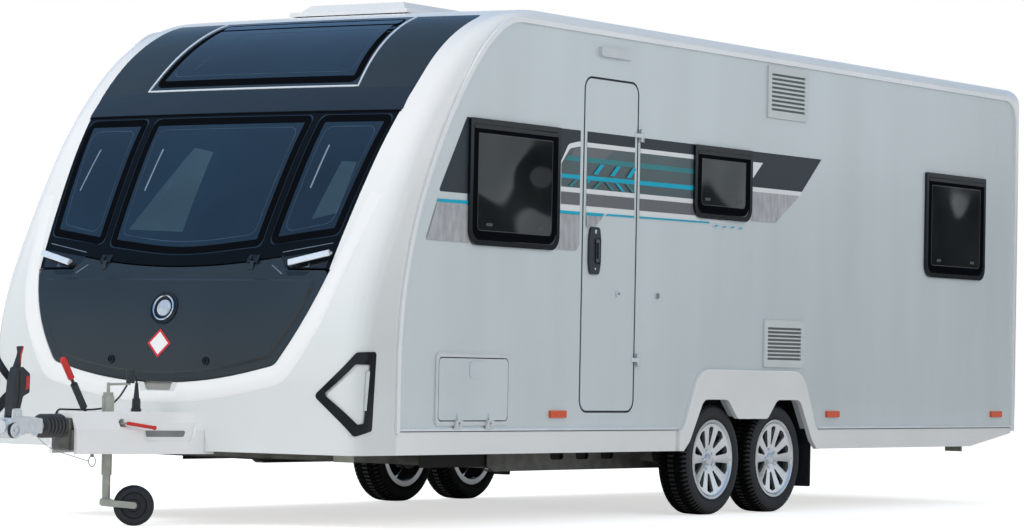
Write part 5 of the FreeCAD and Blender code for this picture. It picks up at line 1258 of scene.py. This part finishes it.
@dataclass(frozen=True)
class WheelDress:
    """Treaded tyres with painted shade in their grooves and slots, wheel bolts, centre caps and the dark
    backs of the rims.
    """

    size: TyreSize = TyreSize()
    steps: int = 288
    blocks: int = 72
    skew: int = 5
    hub_depth: float = 0.034
    cap: Rows = ((-0.002, CORE), (-0.002, 0.031), (0.004, 0.031), (0.007, 0.027), (0.0075, CORE))
    bolt: Rows = ((-0.004, CORE), (-0.004, 0.0105), (0.005, 0.0105), (0.009, 0.008), (0.009, CORE))
    bolts: int = 5
    bolt_circle: float = 0.050
    back: Rows = ((0.040, 0.030), (0.040, 0.181), (0.042, 0.181), (0.042, 0.030))

    def profile(self) -> list[tuple[float, float, bool]]:
        """Profile of the tyre.

        Returns:
            (distance, radius, in a groove) points from the inner bead over the tread to the outer bead.
        """
        size = self.size
        inner = -size.wide / 2.0
        wall = ((0.0235, size.bead), (0.0184, 0.2143), (0.006, 0.224), (0.003, 0.232), (0.0042, 0.2335),
                (0.0012, 0.246), (0.0004, size.radius - 0.045), (0.003, size.radius - 0.03),
                (0.006, size.radius - 0.020), (0.013, size.radius - 0.010))
        side = [(inner + h, r, False) for h, r in wall]
        tread = []
        for left, right in ((-size.tread_half, -0.056), (-0.050, -0.024), (-0.018, 0.018), (0.024, 0.050),
                            (0.056, size.tread_half)):
            for edge in (left, right):
                drop = size.crown * (edge / size.tread_half) ** 2
                tread.append((edge, size.radius - 0.0004 - drop, False))
            if right < size.tread_half:
                tread += [(right + shift, size.radius - size.groove, True) for shift in (0.0008, 0.0052)]
        return side + tread + [(-h, r, g) for h, r, g in reversed(side)]

    def tyre(self, name: str, body: str, hub: Vector, outward: int) -> None:
        """Make one tyre in place of its plain solid.

        Args:
            name: the solid that it replaces.
            body: the wheel's body.
            hub: the wheel's centre.
            outward: 1 on the door side, -1 on the other.
        """
        size, rows = self.size, self.profile()
        mesh = bmesh.new()
        lines = []
        slots: set[tuple[int, int]] = set()
        for k in range(self.steps):
            turn = math.tau * k / self.steps
            line = []
            for i, (h, r, groove) in enumerate(rows):
                block = not groove and r > size.radius - size.shoulder
                shift = round(self.skew * min(1.0, abs(h) / size.tread_half))
                cut = 0.0
                if block and (k + shift) % (self.steps // self.blocks) == 0:
                    cut = size.slot
                    slots |= {(k, i), (k - 1, i), (k, i - 1), (k - 1, i - 1)}
                line.append(mesh.verts.new((hub.x + outward * h, hub.y + (r - cut) * math.cos(turn),
                                            hub.z + (r - cut) * math.sin(turn))))
            lines.append(line)
        bridge(mesh, lines, around=True)
        # Faces in the grooves and slots take the darker finish: painted shade in the tread's hollows.
        for count, face in enumerate(mesh.faces):
            k, i = divmod(count, len(rows) - 1)
            face.material_index = int(rows[i][2] or rows[i + 1][2] or (k, i) in slots)
        made = piece(name + "_tread", body, mesh, [TYRE, TREAD_SHADE], smooth=True, turned=True)
        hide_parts(name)

    def fittings(self, name: str, body: str, hub: Vector, outward: int) -> None:
        """Bolts and centre cap of one wheel.

        Args:
            name: start of the piece's name.
            body: the wheel's body.
            hub: the wheel's centre.
            outward: 1 on the door side, -1 on the other.
        """
        face = hub.x + outward * (self.size.wide / 2.0 - self.hub_depth)
        place = facing((face, hub.y, hub.z), (outward, 0.0, 0.0))
        mesh = bmesh.new()
        lathe(mesh, self.cap, place, 40, 1)
        for i in range(self.bolts):
            turn = math.tau * (i + 0.5) / self.bolts
            u, v = self.bolt_circle * math.cos(turn), self.bolt_circle * math.sin(turn)
            lathe(mesh, self.bolt, place @ Matrix.Translation((u, v, -0.001)), 6)
        piece(name + "_bolts", body, mesh, [CHROME, ALLOY], smooth=True)

    def backs(self, name: str, body: str, hub: Vector, outward: int) -> None:
        """Dark plate behind the spokes of one wheel, which shows through the openings.

        Args:
            name: start of the piece's name.
            body: the wheel's body.
            hub: the wheel's centre.
            outward: 1 on the door side, -1 on the other.
        """
        mesh = bmesh.new()
        lathe(mesh, self.back, facing(hub, (outward, 0.0, 0.0)), 64)
        piece(name + "_back", body, mesh, [DRUM])

    def build(self) -> None:
        """Dress all four wheels."""
        for row in ("front", "rear"):
            for side, outward in (("near", 1), ("off", -1)):
                wheel, tyre = f"wheel_{row}_{side}", f"tyre_{row}_{side}"
                low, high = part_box(tyre)
                hub = (low + high) / 2.0
                self.tyre(tyre, wheel, hub, outward)
                self.fittings(wheel, wheel, hub, outward)
                self.backs(wheel, wheel, hub, outward)


# ------------------------------------------------------------------ hitch
@dataclass(frozen=True)
class HitchDress:
    """Crank knob, handle inserts, bellows, pad bands, cover inserts and painted shade in the chassis slots.
    """

    knob_shift: Row = (-0.019, -0.019, -0.058)
    knob_rows: Rows = ((0.0, CORE), (0.0, 0.0195), (0.004, 0.0207), (0.054, 0.0207), (0.0595, 0.0197),
                       (0.0595, CORE))
    handle_panels: tuple[Rows, ...] = (
        ((-0.989, 0.630), (-0.9675, 0.636), (-0.9675, 0.690), (-0.983, 0.697)),
        ((-1.022, 0.752), (-1.0135, 0.752), (-1.010, 0.790), (-0.997, 0.824), (-1.007, 0.824),
         (-1.018, 0.790)),
        ((-1.052, 0.530), (-1.044, 0.530), (-1.026, 0.620), (-1.028, 0.715), (-1.036, 0.715),
         (-1.036, 0.622)))
    handle_halves: Row = (0.0221, 0.0111, 0.0221)
    bore: float = 0.0274
    folds: int = 6
    fold_rows: Rows = ((0.0, 0.017), (0.25, 0.003), (0.5, 0.0), (0.75, 0.003), (1.0, 0.017))
    pad_spot: Row = (-4.1335, 0.446)
    pad_inset: float = 0.024
    pad_rows: Rows = ((0.0, 0.024), (0.0, 0.0352), (0.017, 0.0352), (0.017, 0.024))
    step_outline: Rows = ((-0.299, 0.4165, 0.004), (-0.095, 0.4165, 0.010), (-0.083, 0.446, 0.008),
                          (-0.306, 0.446, 0.002))
    step_reach: float = 0.6
    step_lift: float = 0.0015
    slot_shade_half: float = 0.741
    slot_shade_outline: Rows = ((-1.9, 0.27), (1.9, 0.27), (1.9, 0.38), (-1.9, 0.38))

    def build(self) -> None:
        """Make every piece."""
        for make in (self._knob, self._handle, self._bellows, self._pad, self._panel, self._slot_shade):
            make()

    def _knob(self) -> None:
        """Black knob on the jockey wheel's crank."""
        place = Matrix.Translation(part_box("jockey_tube")[1] + Vector(self.knob_shift))
        mesh = bmesh.new()
        lathe(mesh, self.knob_rows, place, 24)
        piece("crank_knob", BODY, mesh, [BLACK_PLASTIC], smooth=True)

    def _handle(self) -> None:
        """Red panels, red tips and dark joints on the sides of the coupling handle."""
        mesh = bmesh.new()
        for side in (-1, 1):
            for outline, x, number in zip(self.handle_panels, self.handle_halves, (0, 0, 1)):
                rows = [(Frame.station(station), z) for station, z in outline]
                slab(mesh, rows, wall_plane(side * x, side), 0.0006, number)
        piece("handle_inserts", BODY, mesh, [RED_GRIP, SHADE_AND_JOINT], turned=True)

    def _bellows(self) -> None:
        """Folded gaiter of the coupling."""
        low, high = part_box("bellows")
        outer = (high.z - low.z) / 2.0
        pitch = (high.y - low.y) / self.folds
        place = facing((0.0, low.y, (low.z + high.z) / 2.0), (0.0, 1.0, 0.0))
        mesh = bmesh.new()
        for k in range(self.folds):
            start = pitch * k
            crown = [(start + pitch * share, outer - drop) for share, drop in self.fold_rows]
            lathe(mesh, [(start, self.bore), *crown, (start + pitch, self.bore)], place, 48)
        made = piece("bellows_folds", BODY, mesh, [BELLOWS_RUBBER], smooth=True)
        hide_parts("bellows")

    def _pad(self) -> None:
        """Dark bands round the coupling's friction pads."""
        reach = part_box("coupling_head")[1].x - self.pad_inset
        mesh = bmesh.new()
        for side in (-1, 1):
            lathe(mesh, self.pad_rows, facing((side * reach, *self.pad_spot), (side, 0.0, 0.0)), 40)
        piece("pad_bands", BODY, mesh, [RUBBER], smooth=True)

    def _panel(self) -> None:
        """Dark inserts in the steps of the drawbar's cover."""
        tree = search_tree(("hitch_fairing",))
        mesh = bmesh.new()
        for side in (-1, 1):
            verts = []
            for station, z in rounded(self.step_outline, 4):
                start = Vector((side * self.step_reach, Frame.station(station), z))
                place = tree.ray_cast(start, Vector((-side, 0.0, 0.0)))[0]
                verts.append(mesh.verts.new(place + Vector((side * self.step_lift, 0.0, 0.0))))
            mesh.faces.new(verts)
        piece("cover_inserts", BODY, mesh, [GREY_PLASTIC])

    def _slot_shade(self) -> None:
        """Painted shade in the slots of the chassis members: dark sheets inside them."""
        mesh = bmesh.new()
        for side in (-1, 1):
            slab(mesh, self.slot_shade_outline, wall_plane(side * self.slot_shade_half, side), -0.004)
        piece("chassis_trays", BODY, mesh, [SHADE_AND_JOINT], turned=True)


# ------------------------------------------------------------------ cords
@dataclass(frozen=True)
class Cords:
    """Electrical lead and breakaway cable, through the (x, station, z) route points of the solids."""

    lead: Rows = ((0.0, -0.160, 0.668), (0.0, -0.164, 0.700), (-0.006, -0.192, 0.704),
                  (-0.014, -0.214, 0.655), (-0.026, -0.262, 0.590), (-0.034, -0.335, 0.548),
                  (-0.038, -0.420, 0.5395), (-0.037, -0.520, 0.5385), (-0.039, -0.620, 0.540),
                  (-0.038, -0.703, 0.5415), (-0.038, -0.704, 0.4995))
    lead_diameter: float = 0.009
    cable: Rows = ((0.032, -0.931, 0.428), (0.038, -0.850, 0.368), (0.030, -0.736, 0.341),
                   (0.002, -0.503, 0.299))
    cable_diameter: float = 0.0035

    @staticmethod
    def lay(name: str, node: str, points: Sequence[Row], diameter: float, finish: Finish,
            facts: dict[str, object]) -> None:
        """Args:
            name: name of the line.
            node: the solid that it replaces.
            points: its (x, station, z) route points.
            diameter: its diameter.
            finish: its finish.
            facts: its length, stiffness and lay; not used.
        """
        route = [(x, Frame.station(station), z) for x, station, z in points]
        curve = tube(name, "NURBS", route, diameter / 2.0, 4)
        curve.resolution_u = 12
        spline = curve.splines[0]
        spline.order_u = 3
        spline.use_endpoint_u = True
        made = bpy.data.objects.new(name, curve)
        bpy.context.scene.collection.objects.link(made)
        curve.materials.append(finish.material())
        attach(made, BODY)
        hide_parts(node)
        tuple(route[0])

    def build(self) -> None:
        """Lay both cords."""
        self.lay("lead_line", "electrical_lead", self.lead, self.lead_diameter, RUBBER,
                 {"length": 0.662, "stiffness": "medium", "lay": "loose"})
        self.lay("cable_line", "breakaway_cable", self.cable, self.cable_diameter, ZINC,
                 {"length": 0.452, "stiffness": "stiff", "lay": "taut"})


# ------------------------------------------------------------------ studio
@dataclass(frozen=True)
class Lamp:
    """One soft area light that looks at the caravan."""

    name: str
    position: Row
    size: float
    power: float


@dataclass(frozen=True)
class Studio:
    """Floor, sky, lights and camera."""

    lamps: tuple[Lamp, ...] = (
        Lamp("key_lamp", (-5.0, -16.0, 11.0), 9.0, 1650.0),
        Lamp("side_lamp", (15.0, -4.0, 8.0), 10.0, 590.0),
        Lamp("rear_lamp", (-4.0, 14.0, 10.0), 8.0, 300.0),
    )
    lens: float = 130.15
    sensor: float = 36.0
    far: float = 200.0
    position: Row = (11.1066, -16.9729, 0.7801)
    yaw: float = 33.1493
    pitch: float = 1.5702
    roll: float = 1.1324
    daylight: Row = (0.46, 0.48, 0.50)
    sky: tuple[tuple[float, Row], ...] = (
        (0.0, (0.05, 0.055, 0.06)), (0.045, (0.08, 0.09, 0.10)), (0.062, (0.80, 0.86, 0.90)),
        (0.20, (0.55, 0.66, 0.78)), (0.45, (0.20, 0.38, 0.66)), (1.0, (0.30, 0.46, 0.74)))
    floor_reach: float = 60.0
    floor_colour: Row = (0.86, 0.86, 0.86)
    floor_roughness: float = 0.9
    floor_glow: float = 0.62

    def build(self) -> None:
        """Set the scene up."""
        scene = bpy.context.scene
        scene.view_settings.view_transform = "Standard"
        self._floor()
        self._sky(scene)
        self._lights(scene)
        self._camera(scene)

    def _camera(self, scene: bpy.types.Scene) -> None:
        """Low camera off the front corner on the door side, turned by yaw, pitch and roll.

        Args:
            scene: the scene that it joins.
        """
        yaw, pitch, roll = (math.radians(a) for a in (self.yaw, self.pitch, self.roll))
        ahead = Vector((-math.sin(yaw) * math.cos(pitch), math.cos(yaw) * math.cos(pitch), math.sin(pitch)))
        right = Vector((math.cos(yaw), math.sin(yaw), 0.0))
        up = right.cross(ahead)
        tilted_right = right * math.cos(roll) + up * math.sin(roll)
        tilted_up = up * math.cos(roll) - right * math.sin(roll)
        data = bpy.data.cameras.new("camera")
        data.lens = self.lens
        data.sensor_width = self.sensor
        data.clip_end = self.far
        camera = bpy.data.objects.new("camera", data)
        axes = Matrix((tilted_right, tilted_up, -ahead)).transposed().to_4x4()
        camera.matrix_world = Matrix.Translation(self.position) @ axes
        scene.collection.objects.link(camera)
        scene.camera = camera

    def _lights(self, scene: bpy.types.Scene) -> None:
        """Soft round lights that reflections don't show.

        Args:
            scene: the scene that they join.
        """
        for lamp in self.lamps:
            data = bpy.data.lights.new(lamp.name, "AREA")
            data.shape = "DISK"
            data.size = lamp.size
            data.energy = lamp.power
            made = bpy.data.objects.new(lamp.name, data)
            here = Vector(lamp.position)
            made.matrix_world = facing(here, here - Vector((0.0, 0.0, 1.0)))
            made.visible_glossy = False
            scene.collection.objects.link(made)

    def _sky(self, scene: bpy.types.Scene) -> None:
        """Pale sky: a soft even light, a deeper blue to reflections, and plain white to the camera.

        Args:
            scene: the scene that it lights.
        """
        world = bpy.data.worlds.new("sky")
        scene.world = world
        graph = Graph(world)
        height = graph.add("SeparateXYZ", {"Vector": graph.add("TexCoord")["Generated"]})["Z"]
        path = graph.add("LightPath")
        seen = graph.mix(path["Is Glossy Ray"], self.daylight, graph.ramp(height, self.sky))
        shown = graph.mix(path["Is Camera Ray"], seen, (1.0, 1.0, 1.0))
        graph.feed(graph.nodes["Background"], {"Color": shown, "Strength": 1.0})

    def _floor(self) -> None:
        """Wide plain floor, whitened to the camera, that keeps its shadows."""
        mesh = bmesh.new()
        reach = self.floor_reach
        mesh.faces.new([mesh.verts.new(p) for p in
                        ((-reach, -reach, 0), (reach, -reach, 0), (reach, reach, 0), (-reach, reach, 0))])
        data = bpy.data.meshes.new("floor")
        mesh.to_mesh(data)
        mesh.free()
        floor = bpy.data.objects.new("floor", data)
        bpy.context.scene.collection.objects.link(floor)
        material = bpy.data.materials.new("floor")
        graph = Graph(material)
        shader = graph.nodes["Principled BSDF"]
        graph.feed(shader, {"Base Color": (*self.floor_colour, 1.0), "Roughness": self.floor_roughness})
        matt = shader.outputs["BSDF"]
        glow = graph.add("Emission", {"Strength": self.floor_glow})["Emission"]
        both = graph.add("AddShader", {0: matt, 1: glow})["Shader"]
        eye = graph.add("LightPath")["Is Camera Ray"]
        mixed = graph.add("MixShader", {"Fac": eye, 1: matt, 2: both})["Shader"]
        graph.feed(graph.nodes["Material Output"], {"Surface": mixed})
        data.materials.append(material)


def main() -> None:
    """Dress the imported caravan, add its pieces in order and set the studio."""
    logging.basicConfig(level=logging.INFO, format="%(name)s: %(message)s")
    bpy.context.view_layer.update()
    for name, finish in NODE_FINISHES.items():
        dress(frame["nodes"][name], finish)
        LOG.info("%s takes %s", name, finish.name)
    for part in (SideGraphics(), NoseDress(), WallDress(), HitchDress(), WheelDress(), Cords(), Studio()):
        known = set(bpy.data.objects.keys())
        part.build()
        for name in sorted(set(bpy.data.objects.keys()) - known):
            LOG.info("%s made %s", type(part).__name__, name)


if __name__ == "__main__":
    main()
